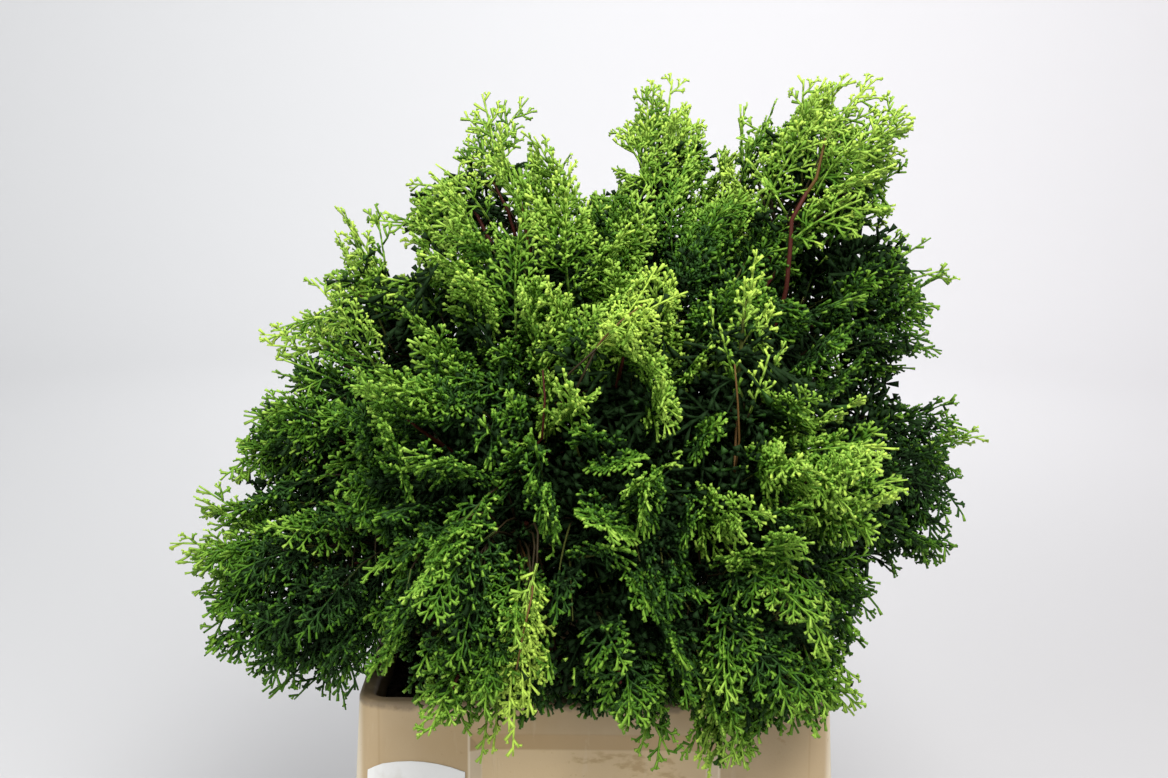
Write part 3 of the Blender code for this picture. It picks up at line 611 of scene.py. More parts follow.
MASSES = (
    Mass("right_top", 12, 0.192, 0.716, 0.096, 62, 0.58, airy=0.50),
    Mass("right_shoulder", 15, 0.226, 0.598, 0.102, 32, 0.28, airy=0.35),
    Mass("right_wing", 12, 0.262, 0.446, 0.098, 6, 0.17, airy=0.70),
    Mass("right_low", 0, 0.172, 0.372, 0.088, -4, 0.22),
    Mass("right_heart", -12, 0.128, 0.610, 0.104, 58, 0.30),
    Mass("right_front", -48, 0.192, 0.484, 0.112, 28, 0.45),
    Mass("right_front_low", -55, 0.230, 0.374, 0.100, -32, 0.36, airy=0.40),
    Mass("upright_shoot", -52, 0.180, 0.592, 0.080, 86, 0.64, 0.45),
    Mass("front_low", -86, 0.192, 0.394, 0.106, -18, 0.21),
    Mass("front_heart", -88, 0.180, 0.474, 0.104, 16, 0.27),
    Mass("front_middle", -84, 0.128, 0.560, 0.108, 42, 0.53),
    Mass("middle_top", -155, 0.060, 0.640, 0.112, 80, 0.50),
    Mass("middle_heart", 46, 0.078, 0.640, 0.098, 72, 0.46),
    Mass("left_front", -132, 0.170, 0.510, 0.104, 40, 0.31),
    Mass("left_front_low", -113, 0.222, 0.402, 0.104, -34, 0.36),
    Mass("left_low", -163, 0.254, 0.388, 0.106, -6, 0.24, airy=0.25),
    Mass("left_wing", 180, 0.226, 0.488, 0.108, 20, 0.31, airy=0.35),
    Mass("left_shoulder", 165, 0.200, 0.592, 0.106, 46, 0.65, airy=0.60),
    Mass("left_top", 136, 0.158, 0.682, 0.106, 56, 0.64, airy=0.95),
    Mass("back_top", 68, 0.140, 0.700, 0.096, 76, 0.62, airy=0.50),
    Mass("back_left", 140, 0.220, 0.532, 0.106, 30, 0.30, airy=0.35),
    Mass("back_left_low", 148, 0.234, 0.398, 0.106, -6, 0.26),
    Mass("back_middle", 98, 0.188, 0.556, 0.116, 42, 0.42),
    Mass("back_low", 95, 0.204, 0.412, 0.112, -6, 0.28),
    Mass("back_right_top", 52, 0.210, 0.612, 0.100, 50, 0.42, airy=0.35),
    Mass("back_right", 40, 0.230, 0.492, 0.106, 25, 0.30, airy=0.30),
    Mass("back_right_low", 46, 0.232, 0.384, 0.102, -6, 0.28),
)

STEMS = (
    Stem("right_stem", 20, 0.066, "right_top", ("right_shoulder", "right_wing", "right_low")),
    Stem("front_right_stem", -35, 0.050, "right_heart",
         ("upright_shoot", "right_front", "right_front_low")),
    Stem("front_stem", -88, 0.052, "front_middle", ("front_heart", "front_low")),
    Stem("middle_stem", -160, 0.012, "middle_top", ("middle_heart",)),
    Stem("front_left_stem", -130, 0.060, "left_front", ("left_front_low",)),
    Stem("left_stem", 178, 0.066, "left_shoulder", ("left_wing", "left_low")),
    Stem("back_left_stem", 135, 0.062, "left_top", ("back_left", "back_left_low")),
    Stem("back_stem", 92, 0.056, "back_top", ("back_middle", "back_low")),
    Stem("back_right_stem", 45, 0.062, "back_right_top", ("back_right", "back_right_low")),
)

MASS_NAMED = {mass.name: mass for mass in MASSES}


class Style(Enum):
    """How a fan is filled: dense, slender, with sky between its laterals, or coarse and dark as
    painted shade.
    """

    FULL = "full"
    SLENDER = "slender"
    OPEN = "open"
    INNER = "inner"


@dataclass(frozen=True)
class Frond:
    """A long frond that stands out of its mass: its tip, how light it is and how it sags."""

    mass: str
    tip: tuple
    tone: float
    sag: float
    style: Style = Style.SLENDER
    foot: tuple | None = None


FRONDS = (
    Frond("left_top", (-0.200, 0.103, 0.766), 0.62, 0.26, Style.OPEN, (-0.089, 0.101, 0.690)),
    Frond("left_top", (-0.064, 0.115, 0.775), 0.52, 0.16, Style.OPEN),
    Frond("left_top", (-0.046, 0.114, 0.735), 0.16, 0.10, Style.FULL),
    Frond("left_top", (-0.168, 0.105, 0.704), 0.34, 0.22, Style.OPEN),
    Frond("left_shoulder", (-0.229, 0.055, 0.679), 0.60, 0.20, Style.OPEN),
    Frond("left_shoulder", (-0.277, 0.034, 0.578), 0.50, 0.34, Style.OPEN),
    Frond("left_wing", (-0.301, -0.010, 0.508), 0.46, 0.24, Style.OPEN),
    Frond("left_wing", (-0.336, -0.033, 0.464), 0.50, 0.22),
    Frond("left_low", (-0.334, -0.078, 0.452), 0.48, 0.16),
    Frond("left_low", (-0.350, -0.093, 0.416), 0.52, 0.18, Style.OPEN),
    Frond("left_low", (-0.330, -0.099, 0.379), 0.36, 0.22),
    Frond("left_low", (-0.300, -0.111, 0.327), 0.24, 0.20),
    Frond("left_low", (-0.246, -0.111, 0.300), 0.18, 0.16),
    Frond("left_low", (-0.208, -0.116, 0.283), 0.16, 0.12),
    Frond("back_top", (0.052, 0.132, 0.788), 0.44, 0.12, Style.OPEN),
    Frond("middle_top", (-0.033, -0.019, 0.712), 0.64, 0.26, Style.OPEN),
    Frond("right_top", (0.125, 0.048, 0.746), 0.56, 0.18, Style.OPEN),
    Frond("right_top", (0.236, 0.004, 0.800), 0.74, 0.30, Style.SLENDER, (0.186, -0.028, 0.744)),
    Frond("right_top", (0.222, -0.024, 0.762), 0.60, 0.20, Style.OPEN, (0.180, -0.034, 0.706)),
    Frond("right_top", (0.118, -0.050, 0.738), 0.58, 0.24, Style.OPEN, (0.156, -0.038, 0.690)),
    Frond("right_top", (0.222, -0.052, 0.706), 0.55, 0.26, Style.OPEN, (0.160, -0.042, 0.668)),
    Frond("right_top", (0.263, 0.028, 0.769), 0.62, 0.20, Style.OPEN),
    Frond("right_top", (0.266, 0.023, 0.700), 0.52, 0.22),
    Frond("right_shoulder", (0.291, 0.050, 0.659), 0.42, 0.20),
    Frond("right_shoulder", (0.306, 0.044, 0.633), 0.48, 0.22, Style.OPEN),
    Frond("right_shoulder", (0.292, 0.040, 0.580), 0.38, 0.20),
    Frond("right_wing", (0.347, 0.040, 0.481), 0.50, 0.20, Style.OPEN),
    Frond("right_wing", (0.317, 0.019, 0.380), 0.20, 0.20, Style.OPEN),
    Frond("right_low", (0.244, -0.010, 0.381), 0.30, 0.20),
    Frond("right_front_low", (0.214, -0.217, 0.344), 0.54, 0.22, Style.OPEN),
    Frond("right_front_low", (0.195, -0.220, 0.327), 0.50, 0.20),
    Frond("right_front_low", (0.081, -0.228, 0.284), 0.58, 0.14, Style.OPEN),
    Frond("right_front_low", (0.127, -0.228, 0.287), 0.34, 0.14),
    Frond("right_front_low", (0.157, -0.226, 0.314), 0.34, 0.14, Style.FULL),
    Frond("left_front_low", (-0.060, -0.276, 0.304), 0.88, 0.06, Style.SLENDER,
          (-0.050, -0.262, 0.430)),
    Frond("left_front_low", (-0.052, -0.282, 0.360), 0.84, 0.04, Style.SLENDER,
          (-0.044, -0.262, 0.458)),
    Frond("left_front_low", (-0.062, -0.282, 0.335), 0.82, 0.06, Style.SLENDER,
          (-0.048, -0.262, 0.445)),
    Frond("left_front_low", (-0.056, -0.280, 0.318), 0.86, 0.06, Style.SLENDER,
          (-0.052, -0.264, 0.410)),
    Frond("left_front_low", (-0.040, -0.270, 0.385), 0.84, 0.10, Style.OPEN,
          (-0.056, -0.215, 0.430)),
    Frond("upright_shoot", (0.106, -0.162, 0.642), 0.76, 0.04, Style.SLENDER,
          (0.102, -0.160, 0.505)),
    Frond("upright_shoot", (0.110, -0.160, 0.620), 0.70, 0.06, Style.SLENDER,
          (0.100, -0.156, 0.510)),
    Frond("left_front_low", (-0.079, -0.248, 0.306), 0.62, 0.16),
    Frond("left_front_low", (-0.118, -0.240, 0.327), 0.42, 0.18),
    Frond("front_low", (0.034, -0.228, 0.314), 0.22, 0.14),
    Frond("left_low", (-0.225, -0.090, 0.287), 0.14, 0.14, Style.FULL),
    Frond("left_low", (-0.265, -0.130, 0.308), 0.20, 0.16, Style.FULL),
    Frond("left_low", (-0.190, -0.150, 0.305), 0.12, 0.16, Style.FULL),
    Frond("left_low", (-0.184, -0.140, 0.322), 0.16, 0.12, Style.FULL, (-0.180, -0.120, 0.420)),
    Frond("left_low", (-0.203, -0.132, 0.312), 0.18, 0.12, Style.FULL, (-0.200, -0.110, 0.410)),
    Frond("back_low", (-0.050, 0.262, 0.318), 0.22, 0.16, Style.FULL, (-0.040, 0.190, 0.410)),
    Frond("back_low", (0.012, 0.270, 0.320), 0.24, 0.16, Style.FULL, (0.004, 0.200, 0.410)),
    Frond("back_left_low", (-0.118, 0.205, 0.326), 0.20, 0.16, Style.FULL, (-0.140, 0.150, 0.410)),
    Frond("back_right_low", (0.095, 0.232, 0.320), 0.22, 0.16, Style.FULL, (0.110, 0.180, 0.410)),
    Frond("left_low", (-0.285, -0.080, 0.298), 0.22, 0.14, Style.FULL),
    Frond("left_low", (-0.345, -0.070, 0.400), 0.46, 0.16, Style.FULL),
    Frond("left_wing", (-0.330, -0.040, 0.470), 0.46, 0.18, Style.FULL),
    Frond("right_front_low", (0.075, -0.222, 0.295), 0.36, 0.16, Style.FULL),
    Frond("right_front_low", (0.100, -0.235, 0.290), 0.52, 0.16, Style.FULL),
    Frond("right_front_low", (0.200, -0.225, 0.335), 0.50, 0.18, Style.FULL),
    Frond("right_wing", (0.300, 0.015, 0.372), 0.20, 0.16, Style.FULL),
    Frond("right_wing", (0.270, 0.020, 0.365), 0.18, 0.14, Style.FULL),
    Frond("right_wing", (0.335, 0.030, 0.470), 0.44, 0.16, Style.FULL),
    Frond("left_top", (-0.180, 0.105, 0.760), 0.56, 0.26, Style.FULL),
    Frond("left_low", (-0.326, -0.075, 0.458), 0.44, 0.24, Style.OPEN),
    Frond("left_low", (-0.322, -0.108, 0.348), 0.30, 0.20, Style.OPEN),
    Frond("left_low", (-0.262, -0.113, 0.298), 0.20, 0.16, Style.OPEN),
    Frond("left_low", (-0.346, -0.095, 0.402), 0.42, 0.18, Style.OPEN),
    Frond("left_shoulder", (-0.201, 0.060, 0.688), 0.52, 0.14, Style.OPEN),
    Frond("left_shoulder", (-0.268, 0.040, 0.606), 0.50, 0.26, Style.OPEN),
    Frond("right_top", (0.205, 0.036, 0.800), 0.64, 0.22, Style.OPEN),
    Frond("right_shoulder", (0.268, 0.055, 0.664), 0.44, 0.18, Style.OPEN),
    Frond("right_front_low", (0.084, -0.230, 0.276), 0.54, 0.12, Style.OPEN),
    Frond("right_front_low", (0.113, -0.226, 0.286), 0.46, 0.12, Style.OPEN),
    Frond("front_low", (0.062, -0.240, 0.292), 0.34, 0.12, Style.OPEN),
    Frond("left_front_low", (-0.087, -0.250, 0.298), 0.50, 0.12),
    Frond("front_middle", (0.068, -0.166, 0.642), 0.86, 0.04, Style.SLENDER,
          (-0.002, -0.204, 0.606)),
    Frond("front_middle", (0.043, -0.154, 0.662), 0.82, 0.04, Style.SLENDER,
          (-0.002, -0.202, 0.606)),
)


@dataclass(frozen=True)
class Shoot:
    """A bare shoot that shows between the sprays: the mass that it leaves and its points."""

    mass: str
    points: tuple
    wood: Wood = Wood.RED
    foot: float = 0.0019
    tip: float = 0.0009
    grows_on: bool = False


SHOOTS = (
    Shoot("right_heart", ((0.152, -0.040, 0.600), (0.157, -0.046, 0.630), (0.159, -0.045, 0.660),
                          (0.160, -0.042, 0.686), (0.172, -0.038, 0.708)),
          Wood.RED, 0.0026, 0.0017),
    Shoot("right_heart", ((0.170, -0.0385, 0.704), (0.180, -0.036, 0.720), (0.184, -0.032, 0.738),
                          (0.187, -0.029, 0.752)), Wood.TAN, 0.0017, 0.0008, True),
    Shoot("upright_shoot", ((0.106, -0.176, 0.505), (0.108, -0.181, 0.532), (0.106, -0.183, 0.560),
                            (0.103, -0.180, 0.590)), Wood.TAN, 0.0012, 0.0007),
    Shoot("left_front_low", ((-0.047, -0.272, 0.438), (-0.053, -0.280, 0.412),
          (-0.058, -0.284, 0.385)),
          Wood.TAN, 0.0010, 0.0006),
    Shoot("left_top", ((-0.072, 0.098, 0.642), (-0.076, 0.100, 0.656), (-0.082, 0.100, 0.676),
                       (-0.094, 0.100, 0.700)), Wood.RED, 0.0020, 0.0011, True),
    Shoot("left_top", ((-0.093, 0.099, 0.699), (-0.103, 0.099, 0.713), (-0.114, 0.098, 0.725)),
          Wood.TAN, 0.0011, 0.0006, True),
    Shoot("front_middle", ((-0.006, -0.202, 0.600), (0.002, -0.202, 0.612), (0.016, -0.194, 0.625),
                           (0.032, -0.184, 0.636)), Wood.TAN, 0.0010, 0.0005, True),
    Shoot("left_front", ((-0.062, -0.150, 0.500), (-0.043, -0.168, 0.529), (-0.041, -0.166, 0.560),
                         (-0.043, -0.158, 0.580)), Wood.RED, 0.0015, 0.0008),
)


@dataclass(frozen=True)
class Notch:
    """A gap where the sky shows from the front, or where what lies behind its plane does."""

    x: float
    z: float
    radius: float
    plane: float = 0.05
    shallow: bool = False
    ragged: float = 0.35
    ripple: tuple = (171.0, 233.0, 205.0)
    before: float = 0.001

    def holds(self, points: np.ndarray) -> np.ndarray:
        """Which points lie in the gap."""
        eye = np.array(EYE)
        line = np.array((self.x, self.plane, self.z)) - eye
        far = np.linalg.norm(line)
        line = line / far
        along = (points - eye) @ line
        aside = np.linalg.norm(points - eye - np.outer(along, line), axis=1)
        ragged = 1.0 + self.ragged * np.sin(points @ np.array(self.ripple))
        gap = aside < self.radius * ragged * along / far
        return gap & (along < far - self.before) if self.shallow else gap


NOTCHES = (
    Notch(-0.265, 0.644, 0.030), Notch(-0.275, 0.602, 0.014), Notch(-0.188, 0.710, 0.020),
    Notch(-0.324, 0.516, 0.023), Notch(-0.337, 0.480, 0.014), Notch(0.003, 0.736, 0.014),
    Notch(0.001, 0.764, 0.015), Notch(0.008, 0.708, 0.010), Notch(0.100, 0.770, 0.015),
    Notch(0.142, 0.782, 0.012), Notch(0.288, 0.530, 0.015), Notch(0.349, 0.428, 0.017),
    Notch(0.271, 0.331, 0.011), Notch(-0.379, 0.305, 0.013), Notch(-0.053, 0.191, 0.011),
    Notch(0.233, 0.175, 0.013), Notch(-0.002, 0.176, 0.010), Notch(-0.012, 0.742, 0.013),
    Notch(-0.180, 0.645, 0.009), Notch(-0.250, 0.603, 0.010), Notch(0.020, 0.792, 0.012),
    Notch(-0.178, 0.690, 0.014), Notch(0.280, 0.712, 0.013), Notch(-0.300, 0.548, 0.010),
    Notch(-0.141, 0.716, 0.007), Notch(-0.155, 0.738, 0.008), Notch(-0.072, 0.730, 0.007),
    Notch(0.232, 0.200, 0.009), Notch(-0.139, 0.180, 0.010), Notch(0.192, 0.168, 0.010),
    Notch(0.248, 0.262, 0.008), Notch(0.300, 0.612, 0.008), Notch(0.335, 0.432, 0.009),
    Notch(0.261, 0.698, 0.010), Notch(0.157, 0.767, 0.008), Notch(-0.281, 0.538, 0.007),
    Notch(0.328, 0.459, 0.008), Notch(0.170, 0.183, 0.008), Notch(0.283, 0.640, 0.007),
    Notch(0.212, 0.782, 0.007), Notch(0.027, 0.722, 0.007), Notch(0.025, 0.772, 0.006),
    Notch(-0.128, 0.721, 0.006), Notch(0.013, 0.198, 0.008), Notch(-0.178, 0.632, 0.009),
    Notch(-0.338, 0.454, 0.007), Notch(0.247, 0.275, 0.008), Notch(-0.152, 0.708, 0.006),
    Notch(0.108, 0.746, 0.007), Notch(0.239, 0.667, 0.006), Notch(-0.010, 0.702, 0.006),
    Notch(0.257, 0.321, 0.006),
    Notch(0.158, 0.632, 0.013, -0.045, True), Notch(0.158, 0.660, 0.015, -0.045, True),
    Notch(0.160, 0.686, 0.013, -0.042, True), Notch(0.170, 0.704, 0.010, -0.040, True),
    Notch(0.181, 0.730, 0.007, -0.034, True), Notch(-0.043, 0.535, 0.009, -0.168, True),
    Notch(0.105, 0.532, 0.008, -0.181, True), Notch(0.104, 0.556, 0.008, -0.183, True),
    Notch(0.184, 0.640, 0.012, 0.010, True), Notch(0.188, 0.615, 0.012, 0.010, True),
    Notch(-0.077, 0.660, 0.007, 0.100, True), Notch(-0.082, 0.676, 0.008, 0.100, True),
    Notch(-0.088, 0.692, 0.007, 0.100, True),
    Notch(-0.042, 0.562, 0.009, -0.166, True), Notch(-0.043, 0.585, 0.008, -0.158, True),
)


@dataclass
class Limb:
    """One tapering limb: the points of its axis and the radius at each."""

    name: str
    points: list
    radii: list


class Limbs:
    """Every stem and bough, on the same lines as their solids."""

    stem_foot = 0.0062
    stem_tip = 0.0024
    stem_leave = 0.38
    stem_arrive = 0.34
    flare_height = 0.022
    flare_at_foot = 1.9
    first_fork = 3
    bough_seat = 1.25
    bough_foot = 0.0034
    bough_tip = 0.0020
    collar_swell = 0.35
    collar_rings = 1.5
    bough_lean = math.radians(52.0)
    bough_slope = 0.62
    bough_leave = 0.33
    bough_arrive = 0.36
    lowest_fork = SOIL_TOP + 0.040
    cell_margin = 0.0008
    leader_before = 0.72
    leader_step = 0.04
    leader_room = 0.004
    rings = 34

    def __init__(self) -> None:
        """Works out every limb."""
        self.stems: list[Limb] = []
        self.boughs: list[Limb] = []
        self.carrier: dict[str, Limb] = {}
        for stem in STEMS:
            limb = self.stem(stem)
            self.stems.append(limb)
            self.carrier[stem.leader] = limb
            for name in stem.boughs:
                bough = self.bough(limb, MASS_NAMED[name])
                self.boughs.append(bough)
                self.carrier[name] = bough

    def holds(self, mass: Mass, points: list[Vector]) -> bool:
        """Whether all the points lie in the mass's own cell."""
        centre = mass.centre
        for point in points:
            own = (point - centre).length_squared
            if own >= (REACH * mass.radius) ** 2:
                return False
            for other in MASSES:
                if other is mass:
                    continue
                theirs = (point - other.centre).length_squared - other.radius**2
                room = 2.0 * self.cell_margin * (other.centre - centre).length
                if theirs - own + mass.radius**2 < room:
                    return False
        return True

    def entry(self, mass: Mass) -> Vector:
        """Where the limb hands over to the mass's leader."""
        way = mass.direction
        side = way.orthogonal().normalized()
        ring = [Quaternion(way, k * math.pi / 2) @ side * self.leader_room for k in range(4)]
        share = self.leader_before
        while share > 0.0:
            point = mass.centre - way * mass.radius * share
            if self.holds(mass, [point + corner for corner in ring]):
                return point
            share -= self.leader_step
        return mass.centre.copy()

    def stem(self, stem: Stem) -> Limb:
        """A stem from its flared flat foot to its leader mass."""
        mass = MASS_NAMED[stem.leader]
        foot = stem.foot
        end = self.entry(mass)
        span = (end - foot).length
        leave = foot + UP * self.stem_leave * span
        arrive = end - mass.direction * self.stem_arrive * span
        points = bezier(foot, leave, arrive, end, self.rings)
        radii = []
        for k, point in enumerate(points):
            radius = self.stem_foot + (self.stem_tip - self.stem_foot) * k / (self.rings - 1)
            rest = max(0.0, 1.0 - (point.z - foot.z) / self.flare_height)
            radii.append(radius * (1.0 + (self.flare_at_foot - 1.0) * rest**2))
        return Limb(stem.name, points, radii)

    def fork(self, stem: Limb, end: Vector) -> tuple[Vector, float, Vector]:
        """Where a bough to that end forks off: the point, the stem's radius and its run."""
        best = None
        for ring in range(self.first_fork, self.rings - 1):
            point = stem.points[ring]
            level = Vector((end.x - point.x, end.y - point.y, 0.0)).length
            miss = abs(point.z - max(end.z - self.bough_slope * level, self.lowest_fork))
            if best is None or miss < best[0]:
                run = (stem.points[ring + 1] - point).normalized()
                best = (miss, point, stem.radii[ring], run)
        return best[1:]

    def bough(self, stem: Limb, mass: Mass) -> Limb:
        """A bough from within its stem to its mass."""
        end = self.entry(mass)
        point, stem_radius, run = self.fork(stem, end)
        outward = end - point
        outward = (outward - run * outward.dot(run)).normalized()
        way = run * math.cos(self.bough_lean) + outward * math.sin(self.bough_lean)
        start = point + way * stem_radius / math.sin(self.bough_lean)
        span = (end - start).length
        leave = start + way * self.bough_leave * span
        arrive = end - mass.direction * self.bough_arrive * span
        points = [point] + bezier(start, leave, arrive, end, self.rings)
        radii = [self.bough_foot * self.bough_seat]
        for k in range(self.rings):
            radius = self.bough_foot + (self.bough_tip - self.bough_foot) * k / (self.rings - 1)
            radii.append(radius * (1.0 + self.collar_swell * math.exp(-k / self.collar_rings)))
        return Limb(f"{mass.name}_bough", points, radii)

    def clearance(self) -> tuple[KDTree, list[float]]:
        """A tree of points inside every limb, and the limb's radius at each."""
        limbs = self.stems + self.boughs
        points = [point for limb in limbs for point in limb.points]
        tree = KDTree(len(points))
        for k, point in enumerate(points):
            tree.insert(point, k)
        tree.balance()
        return tree, [radius for limb in limbs for radius in limb.radii]


# Fans of branchlets


@dataclass(frozen=True)
class Habit:
    """How a fan branches: its steps and sizes in metres, its angles in radians."""

    lateral_step: float = 0.0066
    branchlet_step: float = 0.0041
    side_step: float = 1.35
    branchlet: float = 0.0078
    branchlet_width: float = 0.0030
    bud: float = 0.0038
    bud_share: float = 0.55
    axis_width: float = 0.0024
    lateral_width: float = 0.0022
    wide: float = 0.010
    wider: float = 0.26
    lateral_angle: float = math.radians(56.0)
    lateral_angle_tip: float = math.radians(34.0)
    branchlet_angle: float = math.radians(46.0)
    own_branchlets: float = 0.0118
    longest_own: float = 0.019
    pitch: float = 0.34
    puff: float = 0.22


FINE = Habit()
SLENDER = Habit(wide=0.009, wider=0.09)
OPEN = Habit(
    lateral_step=0.0105, branchlet_step=0.0048, branchlet=0.0090, wide=0.017, wider=0.19,
    own_branchlets=0.0130, longest_own=0.021, lateral_angle=math.radians(62.0),
    lateral_angle_tip=math.radians(38.0), pitch=0.17, puff=0.05,
)
COARSE = Habit(
    lateral_step=0.0118, branchlet_step=0.0086, branchlet=0.0168, branchlet_width=0.0064,
    bud_share=0.0, axis_width=0.0030, lateral_width=0.0036, wide=0.015, wider=0.36,
    own_branchlets=0.024, longest_own=0.030,
)


class Shape(Enum):
    """The closed forms that a fan is made of, as triangles on rings of three corners."""

    ROD = 0
    KNOB = 1

    def faces(self) -> np.ndarray:
        """Its triangles, by the numbers of its corners."""
        if self is Shape.KNOB:
            return np.array([(1, 0, 3), (2, 1, 3), (0, 2, 3), (0, 1, 2)])
        sides = [(0, 1, 4), (0, 4, 3), (1, 2, 5), (1, 5, 4), (2, 0, 3), (2, 3, 5)]
        return np.array(sides + [(0, 2, 1), (3, 4, 5)])


class Fan:
    """One flat fan along X: rows of blunt rods that each start on an earlier one."""

    segment = 0.011
    overlap = 0.10
    seat = 1.06
    neck = 0.66
    curl = 0.45
    main_curl = 0.40
    first_lateral = 0.07
    last_lateral = 0.965
    shortest_lateral = 0.0125
    shortest_branchlet = 0.006
    least_with_buds = 0.0050
    bud_places = (0.40, 0.66)

    def __init__(self, length: float, habit: Habit, seed: int) -> None:
        """Grows the fan.

        Args:
            length: From its root to its tip.
            habit: How it branches.
            seed: The seed of its irregularities.
        """
        self.length = length
        self.habit = habit
        self.rng = random.Random(seed)
        self.rows: list[tuple] = []
        self.axis: list[Vector] = []
        self.grow_main()
        self.start = np.array([row[0] for row in self.rows])
        self.end = np.array([row[1] for row in self.rows])
        self.width = np.array([row[2] for row in self.rows])
        self.root = np.array([row[3] for row in self.rows])
        self.parent = np.array([row[4] for row in self.rows])
        self.youth = np.array([row[5] for row in self.rows])
        self.shape = np.array([row[6].value for row in self.rows])
        self.spine = np.array(self.axis)

    def add(self, start: Vector, end: Vector, width: float, root: float, parent: int,
            youth: float, shape: Shape) -> int:
        """Adds a rod and gives its number."""
        self.rows.append((tuple(start), tuple(end), width, root, parent, youth, shape))
        return len(self.rows) - 1

    def path(self, start: Vector, turn: float, pitch: float, length: float,
             curl: float) -> list[tuple]:
        """The points of an axis that turns as it grows, with its heading at each."""
        steps = max(2, math.ceil(length / self.segment))
        points = [(start, turn, pitch)]
        for _ in range(steps):
            start = start + heading(turn, pitch) * (length / steps)
            turn += curl / steps
            pitch -= pitch / steps * 0.8
            points.append((start, turn, pitch))
        return points

    @staticmethod
    def spot(points: list[tuple], share: float) -> tuple[Vector, int]:
        """The point at a share of the way along an axis, and the number of its rod."""
        at = share * (len(points) - 1)
        k = min(int(at), len(points) - 2)
        return points[k][0].lerp(points[k + 1][0], at - k), k

    def add_axis(self, points: list[tuple], width: float, parent: int, youth: float,
                 rise: float) -> list[int]:
        """Adds the rods of an axis, each a little into the next, and gives their numbers."""
        numbers = []
        count = len(points) - 1
        for k in range(count):
            start, end = points[k][0], points[k + 1][0]
            if k < count - 1:
                end = end + (end - start) * self.overlap
            taper = 1.0 - 0.30 * k / count
            light = youth + rise * (k + 0.5) / count
            parent = self.add(start, end, width * taper, self.seat, parent, light, Shape.ROD)
            numbers.append(parent)
        return numbers

    def branchlet(self, start: Vector, turn: float, pitch: float, length: float, parent: int,
                  youth: float) -> None:
        """Adds a blunt branchlet, mostly with a bud on its side."""
        habit = self.habit
        end = start + heading(turn, pitch) * length
        width = habit.branchlet_width * self.rng.uniform(0.85, 1.12)
        if habit.bud_share == 0.0:
            self.add(start, end, width, 1.0, parent, youth, Shape.KNOB)
            return
        mine = self.add(start, end, width, self.neck, parent, youth, Shape.ROD)
        side = self.rng.choice((-1.0, 1.0))
        for share in self.bud_places:
            if self.rng.random() > habit.bud_share or length < self.least_with_buds:
                continue
            at = start.lerp(end, share + self.rng.uniform(-0.08, 0.08))
            out = turn + side * self.rng.uniform(0.55, 0.85)
            way = Vector((math.cos(out), math.sin(out), math.sin(pitch)))
            bud = habit.bud * self.rng.uniform(0.85, 1.15)
            # A bud is dealt a lighter green than its branchlet: partly the young tip's own colour,
            # partly painted highlight.
            self.add(at, at + way * bud, width * 0.95, 1.0, mine, youth + 0.08, Shape.KNOB)
            side = -side

    def grow_side(self, start: Vector, turn: float, pitch: float, length: float, side: float,
                  parent: int, youth: float) -> None:
        """Grows a lateral with its branchlets, and with laterals of its own where it is long."""
        habit = self.habit
        rng = self.rng
        curl = -side * self.curl * rng.uniform(-0.3, 1.3)
        points = self.path(start, turn, pitch, length, curl)
        numbers = self.add_axis(points, habit.lateral_width, parent, youth * 0.6, 0.4)
        place = habit.branchlet_step * rng.uniform(0.7, 1.3)
        flank = rng.choice((-1.0, 1.0))
        while place < length - 0.001:
            share = place / length
            spot, k = self.spot(points, share)
            rest = length - place
            out = points[k][1] + flank * habit.branchlet_angle * rng.uniform(0.85, 1.12)
            lift = points[k][2] + habit.puff + rng.gauss(0.0, habit.pitch)
            new_youth = 0.40 * youth + 0.60 * share
            wanted = 0.52 * rest + 0.0045
            if wanted > habit.own_branchlets:
                size = min(wanted, habit.longest_own)
                self.grow_side(spot, out, lift, size, flank, numbers[k], new_youth)
                place += habit.branchlet_step * (habit.side_step - 1.0)
            else:
                size = min(habit.branchlet, wanted) * rng.uniform(0.85, 1.15)
                self.branchlet(spot, out, lift, size, numbers[k], new_youth)
            place += habit.branchlet_step * rng.uniform(0.85, 1.15)
            flank = -flank
        last, end_turn, lift = points[-1]
        end_turn += 0.3 * flank
        self.branchlet(last, end_turn, lift, habit.branchlet * 0.6, numbers[-1], 1.0)

    def outline(self, share: float) -> float:
        """How long a lateral is at a share of the way to the tip."""
        widest = self.habit.wide + self.habit.wider * self.length
        return widest * smooth_step(-0.15, 0.25, share) * (1.0 - 0.80 * share**1.3)

    def grow_main(self) -> None:
        """Grows the main axis with laterals on alternate sides."""
        habit = self.habit
        rng = self.rng
        curl = rng.uniform(-self.main_curl, self.main_curl)
        points = self.path(Vector((0.0, 0.0, 0.0)), -curl / 2, 0.0, self.length, curl)
        self.axis = [point for point, _, _ in points]
        numbers = self.add_axis(points, habit.axis_width, -1, 0.25, 0.60)
        place = self.length * self.first_lateral
        side = rng.choice((-1.0, 1.0))
        while place < self.length * self.last_lateral:
            share = place / self.length
            spot, k = self.spot(points, share)
            angle = habit.lateral_angle + (habit.lateral_angle_tip - habit.lateral_angle) * share
            out = points[k][1] + side * angle * rng.uniform(0.9, 1.1)
            lift = rng.gauss(0.0, habit.pitch * 0.7)
            size = self.outline(share) * rng.uniform(0.78, 1.14)
            if size > self.shortest_lateral:
                self.grow_side(spot, out, lift, size, side, numbers[k], share)
            else:
                size = max(size, self.shortest_branchlet)
                self.branchlet(spot, out, lift, size, numbers[k], 0.5 + 0.5 * share)
            place += habit.lateral_step * rng.uniform(0.85, 1.15)
            side = -side


